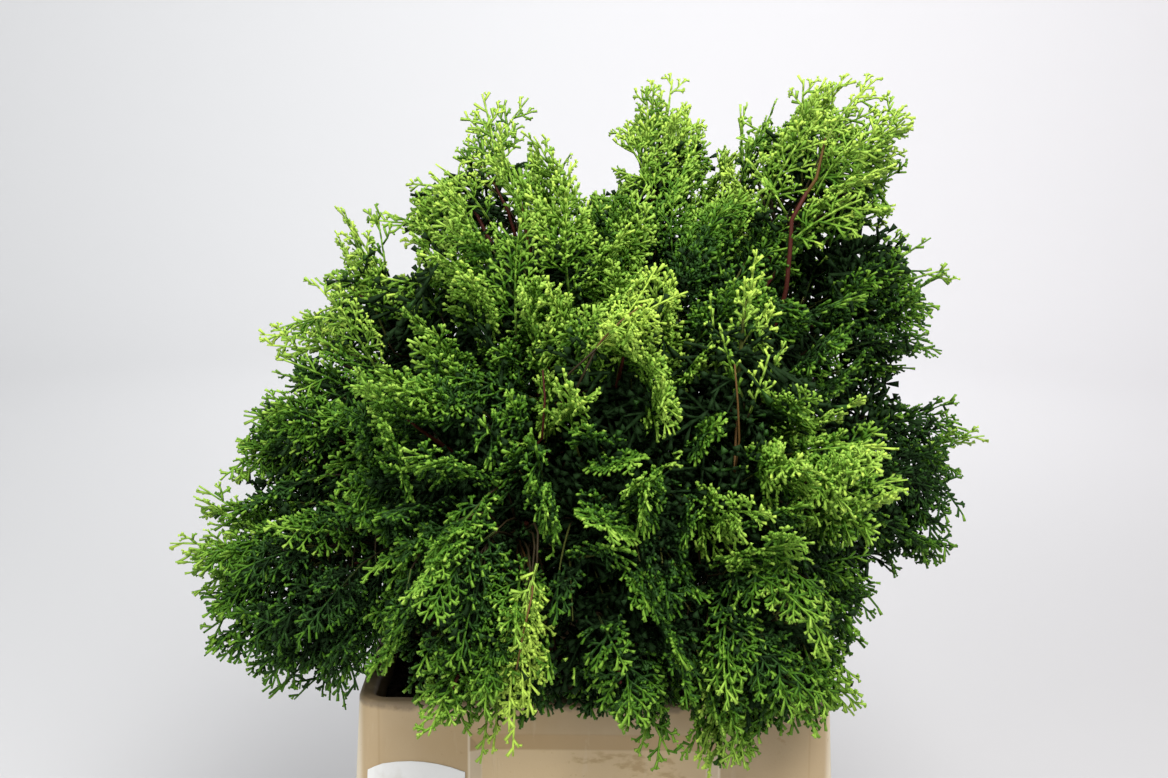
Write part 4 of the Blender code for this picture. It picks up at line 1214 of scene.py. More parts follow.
@dataclass
class Placing:
    """How one fan lies: where its root is, which way it grows, faces and sags, and how it bends."""

    root: Vector
    way: Vector
    normal: Vector
    sag: Vector
    length: float
    droop: float
    cup: float
    twist: float
    mirror: float
    hang: float = 0.8

    def lay(self, points: np.ndarray, size: float) -> tuple[np.ndarray, np.ndarray]:
        """Bends points of a fan and lays them in their place.

        Args:
            points: Rows in the fan's own frame.
            size: The factor from the fan's length to this one's.

        Returns:
            The points, and the way that the fan faces at each.
        """
        way = np.array(self.way)
        normal = np.array(flat_to(self.normal, self.way))
        sag = np.array(flat_to(self.sag, self.way))
        across = np.cross(normal, way)
        x = points[:, 0] * size
        y = points[:, 1] * size * self.mirror
        z = points[:, 2] * size - self.cup * y * y / self.length
        turn = self.twist * x / self.length
        y, z = y * np.cos(turn) - z * np.sin(turn), y * np.sin(turn) + z * np.cos(turn)
        fall = (self.droop * x * np.abs(x) + self.hang * y * y) / self.length
        placed = np.outer(x, way) + np.outer(y, across) + np.outer(z, normal) + np.outer(fall, sag)
        lean_x = -2.0 * self.droop * x / self.length * float(sag @ normal)
        lean_y = 2.0 * (self.cup - self.hang * float(sag @ normal)) * y / self.length - np.sin(turn)
        faces = normal + np.outer(lean_x, way) + np.outer(lean_y, across)
        return placed + np.array(self.root), unit(faces)


class FanStock:
    """Fans of several lengths, to be laid out again and again."""

    def __init__(self, lengths: tuple, each: int, habit: Habit, seed: int) -> None:
        """Grows the stock."""
        self.fans = []
        for k, length in enumerate(lengths):
            self.fans.append([Fan(length, habit, seed + 31 * k + n) for n in range(each)])
        self.lengths = lengths

    def pick(self, length: float, rng: random.Random) -> Fan:
        """A fan near that length."""
        nearest = min(range(len(self.lengths)), key=lambda k: abs(self.lengths[k] - length))
        return rng.choice(self.fans[nearest])


def stack(parts: list) -> tuple[np.ndarray, np.ndarray]:
    """Joins pairs of vertices and faces into one, each part's faces numbered on."""
    verts, faces, offset = [], [], 0
    for part_verts, part_faces in parts:
        verts.append(part_verts)
        faces.append(part_faces + offset)
        offset += len(part_verts)
    return np.vstack(verts), np.vstack(faces)


def tube(points: np.ndarray, radii: np.ndarray, sides: int) -> tuple[np.ndarray, np.ndarray]:
    """A closed tube with blunt points at its ends.

    Args:
        points: Rows of points along its middle.
        radii: Its radius at each.
        sides: Its sides.

    Returns:
        Its vertices and its triangles.
    """
    ways = unit(np.gradient(points, axis=0))
    across = np.cross(ways[0], (0.0, 0.0, 1.0))
    if np.linalg.norm(across) < 0.1:
        across = np.cross(ways[0], (0.0, 1.0, 0.0))
    rings = []
    turns = np.arange(sides) * 2.0 * math.pi / sides
    for point, way, radius in zip(points, ways, radii):
        across = across - way * (across @ way)
        across = across / np.linalg.norm(across)
        other = np.cross(way, across)
        ring = np.outer(np.cos(turns), across) + np.outer(np.sin(turns), other)
        rings.append(point + radius * ring)
    count = len(points)
    ends = np.array([points[0] - ways[0] * radii[0] * 0.5, points[-1] + ways[-1] * radii[-1]])
    verts = np.vstack(rings + [ends])
    faces = []
    for ring in range(count - 1):
        for side in range(sides):
            a = ring * sides + side
            b = ring * sides + (side + 1) % sides
            faces += [(a, b, b + sides), (a, b + sides, a + sides)]
    low, high = count * sides, count * sides + 1
    for side in range(sides):
        after = (side + 1) % sides
        faces.append((low, after, side))
        faces.append(((count - 1) * sides + side, (count - 1) * sides + after, high))
    return verts, np.array(faces)


def mesh_piece(name: str, verts: np.ndarray, faces: np.ndarray,
               material: bpy.types.Material) -> bpy.types.Object:
    """A smooth-shaded object from arrays of vertices and triangles."""
    mesh = bpy.data.meshes.new(name)
    mesh.vertices.add(len(verts))
    mesh.vertices.foreach_set("co", verts.astype(np.float32).ravel())
    mesh.loops.add(faces.size)
    mesh.loops.foreach_set("vertex_index", faces.astype(np.int32).ravel())
    mesh.polygons.add(len(faces))
    mesh.polygons.foreach_set("loop_start", np.arange(0, faces.size, 3, dtype=np.int32))
    mesh.update(calc_edges=True)
    mesh.validate()
    mesh.shade_smooth()
    mesh.materials.append(material)
    piece = bpy.data.objects.new(name, mesh)
    bpy.context.scene.collection.objects.link(piece)
    return piece


class Crown:
    """All the foliage and its twigs, grown from the limbs' ends."""

    fine_fans = 24
    airy_less = 0.30
    fine_sweep = 1.80
    inner_fans = 7
    limb_fan_step = 0.032
    heart_fans = 60
    heart_width = 0.190
    heart_top = 0.64
    fan_back = 0.42
    wander = 0.45
    buried = 0.72
    tub_guard = 0.002
    limb_guard = 0.0007
    shortest = 0.050
    longest = 0.165
    ring_low = 0.22
    ring_high = 0.44
    most_faces = 190000
    rear_fans = 4
    hidden = 0.71
    core = 0.42
    above_rim = 0.018
    box_guard = 0.001
    passes = 12
    cup_range = (0.02, 0.34)
    twist_range = (-0.7, 0.7)
    roll_range = (-0.6, 0.6)
    leader_share = 0.62
    leader_tip = 0.0012
    twig_ends = (0.0011, 0.0008)
    woody_share = 0.50
    woody_ends = (0.0010, 0.0006)
    twig_sides = 4
    shoot_sides = 6
    back_range = (0.25, 0.60)
    root_range = (0.36, 0.66)
    forward_range = (0.6, 1.4)
    reach_range = (0.76, 1.05)
    finer_turn = 1.3
    limb_fan_range = (0.070, 0.110)
    heart_fan_half = 0.050
    shade_half = 0.045
    shade_steps = (-0.020, 0.0, 0.020)
    # The tone of the dark fans inside the crown: painted shade.
    dark = 0.06
    tone_scatter = 0.065
    speckle = 0.028
    youth_middle = 0.37
    youth_spread = 0.43
    inner_youth_spread = 0.12
    inner_reach = 0.88
    frond_facing = Vector((0.0, -0.9, 0.2))
    # Places of dark fans that fill see-through gaps in the crown: painted shade.
    shades = (
        (0.074, 0.0, 0.482), (0.078, 0.0, 0.522), (-0.084, 0.0, 0.397), (0.089, 0.0, 0.376),
        (-0.107, 0.0, 0.473), (-0.192, 0.0, 0.354), (-0.180, 0.0, 0.330), (0.098, 0.0, 0.362),
        (0.105, 0.0, 0.355), (0.214, 0.0, 0.504), (0.204, 0.0, 0.553), (0.228, 0.0, 0.400),
        (-0.146, 0.0, 0.611), (0.210, 0.0, 0.658), (-0.271, 0.0, 0.424), (-0.098, 0.0, 0.551),
        (0.205, 0.0, 0.530), (-0.142, -0.105, 0.350), (-0.162, -0.085, 0.350),
        (-0.122, -0.125, 0.350), (0.220, 0.0, 0.650), (0.226, 0.0, 0.504),
        (-0.139, 0.060, 0.590), (-0.150, 0.050, 0.570), (0.231, 0.050, 0.504),
        (0.218, 0.060, 0.645),
    )

    def __init__(self, limbs: Limbs) -> None:
        """Keeps the limbs and grows the stock of fans."""
        self.limbs = limbs
        self.tree, self.tree_radii = limbs.clearance()
        self.stocks = {
            Style.FULL: FanStock((0.055, 0.070, 0.085, 0.100, 0.120, 0.140), 4, FINE, 500),
            Style.SLENDER: FanStock((0.070, 0.100, 0.130, 0.160), 3, SLENDER, 1300),
            Style.OPEN: FanStock((0.070, 0.095, 0.120, 0.150), 4, OPEN, 1700),
            Style.INNER: FanStock((0.090, 0.130), 4, COARSE, 900),
        }
        self.low, self.high = (np.array(corner) for corner in CAD_BOX)
        self.parts: list[tuple] = []
        self.tubes: dict[Wood, list] = {wood: [] for wood in Wood}

    def allowed(self, mass: Mass | None, points: np.ndarray, reach: float) -> np.ndarray:
        """Which points lie in the reach of the mass, or of any mass, in the box and off the tub."""
        if mass is None:
            fine = np.min([other.depth(points) for other in MASSES], axis=0) < reach
            heart = np.hypot(points[:, 0], points[:, 1]) < self.heart_width
            fine |= heart & (points[:, 2] < self.heart_top)
            fine &= points[:, 2] > TUB_HEIGHT + self.above_rim
        else:
            fine = mass.depth(points) < reach
        fine &= (points > self.low + self.box_guard).all(1)
        fine &= (points < self.high - self.box_guard).all(1)
        flare = TUB_FLARE * (1.0 - np.clip(points[:, 2] / TUB_HEIGHT, 0.0, 1.0)) + self.tub_guard
        inside = np.abs(points[:, 0]) < TUB_WIDTH / 2 + flare
        inside &= np.abs(points[:, 1]) < TUB_DEPTH / 2 + flare
        for notch in NOTCHES:
            fine &= ~notch.holds(points)
        return fine & ~(inside & (points[:, 2] < TUB_HEIGHT + self.tub_guard))

    def is_hidden(self, mass: Mass, points: np.ndarray) -> np.ndarray:
        """Which points lie deep inside another mass, where nothing of them would show."""
        hidden = np.zeros(len(points), bool)
        for other in MASSES:
            if other is not mass:
                hidden |= other.depth(points) < self.hidden
        return hidden

    def clear_of_limbs(self, points: np.ndarray) -> np.ndarray:
        """Which points lie outside every stem and bough."""
        clear = np.ones(len(points), bool)
        for k, point in enumerate(points):
            _, nearest, distance = self.tree.find(point)
            clear[k] = distance > self.tree_radii[nearest] + self.limb_guard
        return clear

    def add_fan(self, number: int, fan: Fan, placing: Placing, tone: float, reach: float,
                inner: bool, rng: random.Random) -> None:
        """Lays a fan in its mass, less the branchlets that would leave its space.

        Args:
            number: The mass's number.
            fan: The fan from the stock.
            placing: How it lies.
            tone: How light it is, from 0 to 1.
            reach: How far it may go, as a share of the mass's radius.
            inner: Whether it is one of the dark fans inside the crown.
            rng: The mass's own chances.
        """
        mass = MASSES[number]
        size = placing.length / fan.length
        start, _ = placing.lay(fan.start, size)
        end, facing = placing.lay(fan.end, size)
        room = None if inner else mass
        kept = self.allowed(room, end, reach) & self.allowed(room, start, reach)
        for _ in range(self.passes):
            held = kept & ((fan.parent < 0) | kept[fan.parent])
            if (held == kept).all():
                break
            kept = held
        grown = fan.parent >= 0
        bore = np.bincount(fan.parent[grown], minlength=len(kept)) > 0
        for _ in range(self.passes):
            kept &= ~bore | (np.bincount(fan.parent[kept & grown], minlength=len(kept)) > 0)
        kept &= self.clear_of_limbs((start + end) / 2)
        if not inner:
            kept &= ~self.is_hidden(mass, end) & (mass.depth(end) > self.core)
        noise = np.array([rng.gauss(0.0, self.speckle) for _ in range(len(kept))])
        # Fans deep in their mass are dealt darker greens: painted shade.
        depth = np.clip(0.35 * (mass.depth(end) - 0.90), -0.20, 0.05)
        spread = self.inner_youth_spread if inner else self.youth_spread
        light = tone + noise + (fan.youth - self.youth_middle) * spread + (0.0 if inner else depth)
        roll = np.array([rng.uniform(*self.roll_range) for _ in range(len(kept))])
        rows = np.full(len(kept), number)
        width = fan.width * (0.6 + 0.4 * size)
        columns = (start, end, facing, width, fan.root, light, roll, rows, fan.shape)
        self.parts.append(tuple(column[kept] for column in columns))

    def add_tube(self, wood: Wood, points: list, foot: float, tip: float, sides: int) -> None:
        """Adds a twig along points, tapering from its foot to its tip."""
        rows = to_rows(points)
        radii = np.linspace(foot, tip, len(rows))
        self.tubes[wood].append(tube(rows, radii, sides))

    def leader(self, mass: Mass) -> list[Vector]:
        """The mass's leader, which carries on from its limb."""
        limb = self.limbs.carrier[mass.name]
        way = mass.direction
        start = limb.points[-1] + way * CLEARANCE
        end = mass.centre + way * mass.radius * self.leader_share - UP * 0.10 * mass.radius
        span = (end - start).length
        path = bezier(start, start + way * 0.40 * span, end - way * 0.30 * span, end, 9)
        wood = Wood.OLIVE if mass.slim < 1.0 else Wood.RED
        grown = self.grown(mass, path, REACH)
        self.add_tube(wood, grown, limb.radii[-1], self.leader_tip, self.shoot_sides)
        return path

    def grown(self, mass: Mass, path: list, reach: float) -> list[Vector]:
        """A twig's points up to where it would leave its mass's space, at least its first two."""
        shown = self.allowed(mass, to_rows(path), reach)
        count = 2
        while count < len(path) and shown[count]:
            count += 1
        return [Vector(point) for point in path[:count]]

    def grow_fan(self, number: int, fork: Vector, foot: Vector, tip: Vector, normal: Vector,
                 droop: float, tone: float, rng: random.Random, reach: float = REACH,
                 style: Style | None = None) -> None:
        """Grows a twig from its fork to a fan's root, and the fan on it.

        Args:
            number: The mass's number.
            fork: Where the twig leaves its leader.
            foot: The fan's root.
            tip: Where its tip would be if it didn't sag.
            normal: The way that it faces.
            droop: How far it sags, as a share of its length.
            tone: How light it is.
            rng: The mass's own chances.
            reach: How far it may go, as a share of the mass's radius.
            style: How it is filled, or None for its mass's own way.
        """
        mass = MASSES[number]
        way = (tip - foot).normalized()
        length = min(max((tip - foot).length, self.shortest), self.longest)
        if style is None:
            style = Style.OPEN if rng.random() < mass.airy else Style.FULL
            style = Style.SLENDER if mass.slim < 1.0 else style
        inner = style is Style.INNER
        fan = self.stocks[style].pick(length, rng)
        placing = Placing(
            foot, way, normal, self.sag(foot), length, droop, rng.uniform(*self.cup_range),
            rng.uniform(*self.twist_range), rng.choice((-1.0, 1.0)),
        )
        self.add_fan(number, fan, placing, tone, reach, inner, rng)
        if inner:
            return
        spine, _ = placing.lay(fan.spine, length / fan.length)
        woody = []
        if self.allowed(mass, spine[:2], reach).all():
            count = max(2, round(len(spine) * self.woody_share))
            woody = self.grown(mass, spine[:count], reach)
        span = (foot - fork).length
        twig = bezier(fork, fork.lerp(foot, 0.3), foot - way * span * 0.45, foot, 6)
        if self.allowed(mass, to_rows(twig[2:]), reach).all():
            self.add_tube(Wood.BROWN, twig, *self.twig_ends, self.twig_sides)
        if len(woody) > 1:
            self.add_tube(Wood.OLIVE, woody, *self.woody_ends, self.twig_sides)

    def grow_inner(self, number: int, foot: Vector, tip: Vector, normal: Vector, droop: float,
                   tone: float, rng: random.Random, reach: float = inner_reach) -> None:
        """Grows a dark fan inside the crown as painted shade, on no twig of its own."""
        self.grow_fan(number, foot, foot, tip, normal, droop, tone, rng, reach, Style.INNER)

    @staticmethod
    def sag(foot: Vector) -> Vector:
        """The way that a fan rooted there bends under its weight: down and outward."""
        return Vector((foot.x, foot.y, 0.0)).normalized() * 0.5 - UP

    def grow_fronds(self) -> None:
        """Grows the long fronds that stand out of the crown."""
        rng = random.Random(SEED * 11)
        for shoot in SHOOTS:
            start = self.limbs.carrier[shoot.mass].points[-1]
            first = Vector(shoot.points[0])
            before = first - (Vector(shoot.points[1]) - first) * 0.5
            path = [first]
            if not shoot.grows_on:
                path = bezier(start, start.lerp(first, 0.4), before, first, 5)
            path += [Vector(point) for point in shoot.points[1:]]
            self.add_tube(shoot.wood, path, shoot.foot, shoot.tip, self.shoot_sides)
        for frond in FRONDS:
            mass = MASS_NAMED[frond.mass]
            tip = Vector(frond.tip)
            foot = Vector(frond.foot) if frond.foot else mass.centre - (tip - mass.centre) * 0.30
            way = (tip - foot).normalized()
            length = (tip - foot).length
            aim = tip - flat_to(self.sag(foot), way) * frond.sag * length
            limb = self.limbs.carrier[mass.name]
            fork = self.fork(mass, [limb.points[-1]], foot, aim, rng)
            normal = mass.outward + self.frond_facing + self.scattered(rng, 0.3)
            self.grow_fan(
                MASSES.index(mass), fork, foot, aim, normal, frond.sag, frond.tone, rng,
                TIP_REACH, frond.style,
            )

    def fork(self, mass: Mass, path: list[Vector], foot: Vector, tip: Vector,
             rng: random.Random) -> Vector:
        """Where the twig to a foot leaves the leader or its limb, so that it grows forward."""
        way = (tip - foot).normalized()
        best = None
        for point in self.limbs.carrier[mass.name].points[-12::2] + path:
            run = foot - point
            cost = run.length - 0.6 * run.dot(way) + rng.uniform(0.0, 0.030)
            if best is None or cost < best[0]:
                best = (cost, point)
        return best[1]

    def grow_heart(self) -> None:
        """Grows dark fans as painted shade inside the crown: on every stem and bough, round its
        heart and at the shade places.
        """
        rng = random.Random(SEED * 7)
        for limb in self.limbs.stems + self.limbs.boughs:
            gone = 0.0
            for before, point in zip(limb.points, limb.points[1:]):
                gone += (point - before).length
                if gone < self.limb_fan_step or point.z < TUB_HEIGHT + 0.02:
                    continue
                gone = 0.0
                run = (point - before).normalized()
                turn = rng.uniform(0.0, 2.0 * math.pi)
                way = Vector((math.cos(turn), math.sin(turn), rng.uniform(-0.1, 0.9))) + run * 0.4
                tip = point + way.normalized() * rng.uniform(*self.limb_fan_range)
                self.grow_inner(0, point, tip, self.scattered(rng, 1.0), 0.15, self.dark, rng)
        for k in range(self.heart_fans):
            share = (k + 0.5) / self.heart_fans
            turn = k * GOLDEN_ANGLE
            outward = Vector((math.cos(turn), math.sin(turn), 0.0))
            place = outward * rng.uniform(0.05, self.heart_width)
            place.z = TUB_HEIGHT + 0.03 + share * (self.heart_top - TUB_HEIGHT - 0.05)
            along = (outward.cross(UP) + self.scattered(rng, 0.7)).normalized()
            normal = outward + self.scattered(rng, 0.7)
            along *= self.heart_fan_half
            self.grow_inner(0, place - along, place + along, normal, 0.1, self.dark, rng)
        for x, y, z in self.shades:
            for aside in self.shade_steps:
                middle = Vector((x + aside * 0.5, y + aside, z))
                along = Vector((aside * 20.0, 0.0, 1.0)) + self.scattered(rng, 0.3)
                along = along.normalized() * self.shade_half
                normal = Vector((0.0, -1.0, 0.2))
                self.grow_inner(0, middle - along, middle + along, normal, 0.1, 0.05, rng)

    def exposed(self, mass: Mass, outward: Vector) -> bool:
        """Whether that side of the mass lies on the crown's outside."""
        spot = mass.on_shell(outward, 0.95)
        for other in MASSES:
            if other is not mass and (spot - other.centre).length < other.radius * self.buried:
                return False
        return True

    def tone_of(self, mass: Mass, outward: Vector, rng: random.Random) -> float:
        """How light a fan is: its mass's own tone, lighter where it faces up and out, partly as the
        outer growth's own lighter green and partly as painted light.
        """
        light = mass.tone + 0.08 * outward.z + 0.06 * outward.dot(mass.direction)
        return light + rng.gauss(0.0, self.tone_scatter)

    def grow(self, number: int) -> None:
        """Grows one mass by the solids' rule, then its finer fans and its dark heart."""
        mass = MASSES[number]
        rng = random.Random(SEED + number)
        fine = random.Random(SEED * 100 + number)
        way = mass.direction
        path = self.leader(mass)
        side = way.orthogonal().normalized()
        phase = rng.uniform(0.0, 2.0 * math.pi)
        growth = (way + UP * SPRAY_UPWARD * math.sin(math.radians(mass.rise))).normalized()
        count = round(SPRAYS * mass.slim)
        for k in range(count):
            height = 1.0 - SPRAYS_SWEEP * (k + 0.5) / count
            outward = round_axis(way, side, phase + k * GOLDEN_ANGLE, height)
            ahead = (growth + self.scattered(fine, self.wander)).normalized()
            foot = mass.on_shell(outward, TWIG_SHARE) - ahead * mass.radius * self.fan_back
            reach = rng.uniform(REACH_LEAST, REACH)
            tip = mass.on_shell((outward + ahead * SPRAY_FORWARD).normalized(), reach)
            fork = self.fork(mass, path, foot, tip, fine)
            normal = outward + mass.outward * 0.5 + self.scattered(rng, SPRAY_SCATTER)
            droop = SPRAY_DROOP * rng.uniform(*SPRAY_DROOP_RANGE)
            tone = self.tone_of(mass, outward, fine)
            self.grow_fan(number, fork, foot, tip, normal, droop, tone, fine)
        last = mass.centre + way * mass.radius * TIP_REACH
        normal = (path[-1] - CROWN_HEART).normalized() + self.scattered(rng, SPRAY_SCATTER)
        droop = SPRAY_DROOP * rng.uniform(*SPRAY_DROOP_RANGE)
        fork, foot = on_path(path, 0.40), on_path(path, 0.60)
        tone = mass.tone + 0.12
        self.grow_fan(number, fork, foot, last, normal, droop, tone, fine, TIP_REACH)
        self.grow_finer(number, path, growth, side, phase, fine)

    def grow_finer(self, number: int, path: list[Vector], growth: Vector, side: Vector,
                   phase: float, rng: random.Random) -> None:
        """Grows the fans between the solids' own, where the mass shows, and its dark ones, which
        are painted shade.

        Args:
            number: The mass's number.
            path: Its leader.
            growth: The way that its fans grow.
            side: The side that their turns are measured from.
            phase: The first fan's turn.
            rng: The mass's own chances for what the solids don't have.
        """
        mass = MASSES[number]
        way = mass.direction
        count = round(self.fine_fans * mass.slim**2 * (1.0 - self.airy_less * mass.airy))
        for k in range(count):
            height = 1.0 - self.fine_sweep * (k + 0.5) / count
            turn = phase + self.finer_turn + k * GOLDEN_ANGLE
            outward = round_axis(way, side, turn, height)
            if not self.exposed(mass, outward):
                continue
            ahead = (growth + self.scattered(rng, self.wander)).normalized()
            back = ahead * mass.radius * rng.uniform(*self.back_range)
            foot = mass.on_shell(outward, rng.uniform(*self.root_range)) - back
            forward = SPRAY_FORWARD * rng.uniform(*self.forward_range)
            reach = rng.uniform(*self.reach_range)
            tip = mass.on_shell((outward + ahead * forward).normalized(), reach)
            fork = self.fork(mass, path, foot, tip, rng)
            normal = outward + mass.outward * 0.4 + self.scattered(rng, SPRAY_SCATTER)
            droop = SPRAY_DROOP * rng.uniform(*SPRAY_DROOP_RANGE)
            # Fans that reach less far out are dealt darker greens: painted shade.
            tone = self.tone_of(mass, outward, rng) - 0.20 * (1.0 - reach)
            self.grow_fan(number, fork, foot, tip, normal, droop, tone, rng)
        for k in range(round(self.inner_fans * (1.0 - mass.airy * 0.5))):
            across = Quaternion(way, phase + k * GOLDEN_ANGLE) @ side
            along = (across + way * rng.uniform(-0.4, 0.8)).normalized()
            foot = mass.centre - along * mass.radius * 0.62
            tip = mass.centre + along * mass.radius * 0.66
            turned = mass.outward if k % 2 else mass.outward.cross(UP)
            normal = self.scattered(rng, 0.7) + turned
            self.grow_inner(number, foot, tip, normal, 0.1, self.dark, rng, 0.86)
        for k in range(self.rear_fans):
            across = Quaternion(way, phase + k * GOLDEN_ANGLE) @ side
            rear = mass.centre - way * mass.radius * rng.uniform(0.45, 0.75)
            foot = rear - across * mass.radius * 0.55
            tip = rear + across * mass.radius * 0.55
            normal = self.scattered(rng, 0.6) - way
            self.grow_inner(number, foot, tip, normal, 0.1, 0.10, rng)

    @staticmethod
    def scattered(rng: random.Random, spread: float) -> Vector:
        """A small random vector."""
        return Vector((rng.uniform(-1, 1), rng.uniform(-1, 1), rng.uniform(-1, 1))) * spread

    def corners(self, rows: tuple, shape: Shape) -> np.ndarray:
        """The corners of each form: a rod's two rings, or a knob's tip ring and its root."""
        start, end, facing, width, root, _, roll, _, _ = rows
        way = unit(end - start)
        up = unit(facing - way * (facing * way).sum(1, keepdims=True))
        out = np.cross(way, up)
        turned = up * np.cos(roll)[:, None] + out * np.sin(roll)[:, None]
        out = out * np.cos(roll)[:, None] - up * np.sin(roll)[:, None]
        rings = [(end, width / 2)]
        if shape is Shape.ROD:
            rings.insert(0, (start, width * root / 2))
        corners = []
        for middle, half in rings:
            half = half[:, None]
            low = middle - turned * half * self.ring_low * 2
            high = middle + turned * half * self.ring_high * 2
            corners += [low - out * half, high, low + out * half]
        if shape is Shape.KNOB:
            corners.append(start)
        return np.stack(corners, axis=1)

    def build(self) -> None:
        """Grows every mass and puts the sprays and twigs in the scene, each tone apart."""
        for number in range(len(MASSES)):
            self.grow(number)
        self.grow_fronds()
        self.grow_heart()
        rows = tuple(np.concatenate(column) for column in zip(*self.parts))
        tones = list(Tone)
        dealt = np.clip((rows[5] * len(tones)).astype(int), 0, len(tones) - 1)
        weight = np.array([len(shape.faces()) for shape in Shape])[rows[8]]
        for k, tone in enumerate(tones):
            chosen = np.flatnonzero(dealt == k)
            pieces = max(1, math.ceil(weight[chosen].sum() / self.most_faces))
            material = tone.value.make()
            for n, part in enumerate(np.array_split(chosen, pieces)):
                name = f"{tone.name.lower()}_sprays" + (f"_{n + 1}" if pieces > 1 else "")
                own = tuple(column[part] for column in rows)
                self.add_sprays(name, own, material)
        for wood in Wood:
            self.add_twigs(wood)

    def add_sprays(self, name: str, rows: tuple, material: bpy.types.Material) -> None:
        """Puts one tone of sprays in the scene, in place of the masses that it grows in."""
        parts = []
        for shape in Shape:
            part = rows[8] == shape.value
            corners = self.corners(tuple(column[part] for column in rows), shape)
            count, each = corners.shape[:2]
            numbers = shape.faces()[None] + each * np.arange(count)[:, None, None]
            parts.append((corners.reshape(-1, 3), numbers.reshape(-1, 3)))
        piece = mesh_piece(name, *stack(parts), material)
        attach(piece, "root")
        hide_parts(*[MASSES[k].name for k in np.unique(rows[7])])
        LOG.info("%s: %d triangles", name, len(piece.data.polygons))

    def add_twigs(self, wood: Wood) -> None:
        """Puts one kind of twigs in the scene."""
        piece = mesh_piece(wood.value.name + "s", *stack(self.tubes[wood]), wood.value.make())
        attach(piece, "root")
        LOG.info("%s: %d triangles", piece.name, len(piece.data.polygons))


# Modelled pieces


def deselect() -> None:
    """Leaves nothing selected."""
    bpy.ops.object.select_all(action="DESELECT")


def activate(piece: bpy.types.Object) -> None:
    """Makes a piece the only selected one."""
    deselect()
    piece.select_set(True)
    bpy.context.view_layer.objects.active = piece


def apply_modifiers(piece: bpy.types.Object) -> None:
    """Applies every modifier of a piece, in order."""
    activate(piece)
    for modifier in list(piece.modifiers):
        bpy.ops.object.modifier_apply(modifier=modifier.name)


def join(pieces: list) -> bpy.types.Object:
    """Joins pieces into the first of them."""
    activate(pieces[0])
    for piece in pieces:
        piece.select_set(True)
    bpy.ops.object.join()
    return pieces[0]


def dress(piece: bpy.types.Object, material: bpy.types.Material) -> None:
    """Makes a material the only one of a piece."""
    piece.data.materials.clear()
    piece.data.materials.append(material)


def add_relief(piece: bpy.types.Object, label: str, size: float, strength: float,
               **settings: str) -> None:
    """Adds a cloudy relief to a piece.

    Args:
        piece: The piece.
        label: The relief's name.
        size: The size of its clouds.
        strength: How high it is.
        **settings: The modifier's other settings, by name.
    """
    texture = bpy.data.textures.new(f"{piece.name}_{label}", "CLOUDS")
    texture.noise_scale = size
    texture.noise_depth = 2
    relief = piece.modifiers.new(label, "DISPLACE")
    relief.texture = texture
    relief.strength = strength
    relief.mid_level = 0.5
    for key, value in settings.items():
        setattr(relief, key, value)


@dataclass
class BarkedLimbs:
    """The stems and the boughs with their bark's relief."""

    limbs: Limbs
    lump: float = 0.0006
    strip: float = 0.0009

    def sweep(self, limb: Limb) -> bpy.types.Object:
        """One limb, swept along its line."""
        deselect()
        bpy.ops.curve.primitive_bezier_curve_add()
        curve = bpy.context.object
        data = curve.data
        data.splines.clear()
        spline = data.splines.new("POLY")
        spline.points.add(len(limb.points) - 1)
        for spot, point, radius in zip(spline.points, limb.points, limb.radii):
            spot.co = (*point, 1.0)
            spot.radius = radius
        data.dimensions = "3D"
        data.bevel_depth = 1.0
        data.bevel_resolution = 4
        data.use_fill_caps = True
        bpy.ops.object.convert(target="MESH")
        return bpy.context.object

    def build_set(self, name: str, limbs: list[Limb], finish: Bark) -> None:
        """Sweeps a set of limbs, joins them and gives them their relief.

        Args:
            name: The piece's name.
            limbs: The limbs.
            finish: Their bark.
        """
        piece = join([self.sweep(limb) for limb in limbs])
        piece.name = name
        piece.data.name = name
        bpy.ops.object.mode_set(mode="EDIT")
        bpy.ops.mesh.select_all(action="SELECT")
        bpy.ops.mesh.remove_doubles(threshold=WELD)
        bpy.ops.mesh.normals_make_consistent(inside=False)
        bpy.ops.object.mode_set(mode="OBJECT")
        add_relief(piece, "lumps", 0.012, self.lump, texture_coords="LOCAL")
        add_relief(piece, "strips", 0.0035, self.strip, texture_coords="LOCAL")
        apply_modifiers(piece)
        piece.data.shade_smooth()
        dress(piece, finish.make())
        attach(piece, "root")
        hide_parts(*[limb.name for limb in limbs])
        LOG.info("%s: %d faces", name, len(piece.data.polygons))

    def build(self) -> None:
        """Makes the stems and the boughs."""
        self.build_set("barked_stems", self.limbs.stems, Bark(
            "stem_bark", (0.045, 0.014, 0.008), (0.135, 0.042, 0.022), (0.215, 0.125, 0.085),
        ))
        self.build_set("barked_boughs", self.limbs.boughs, Bark(
            "bough_bark", (0.060, 0.015, 0.009), (0.150, 0.040, 0.020), (0.210, 0.105, 0.060),
        ))


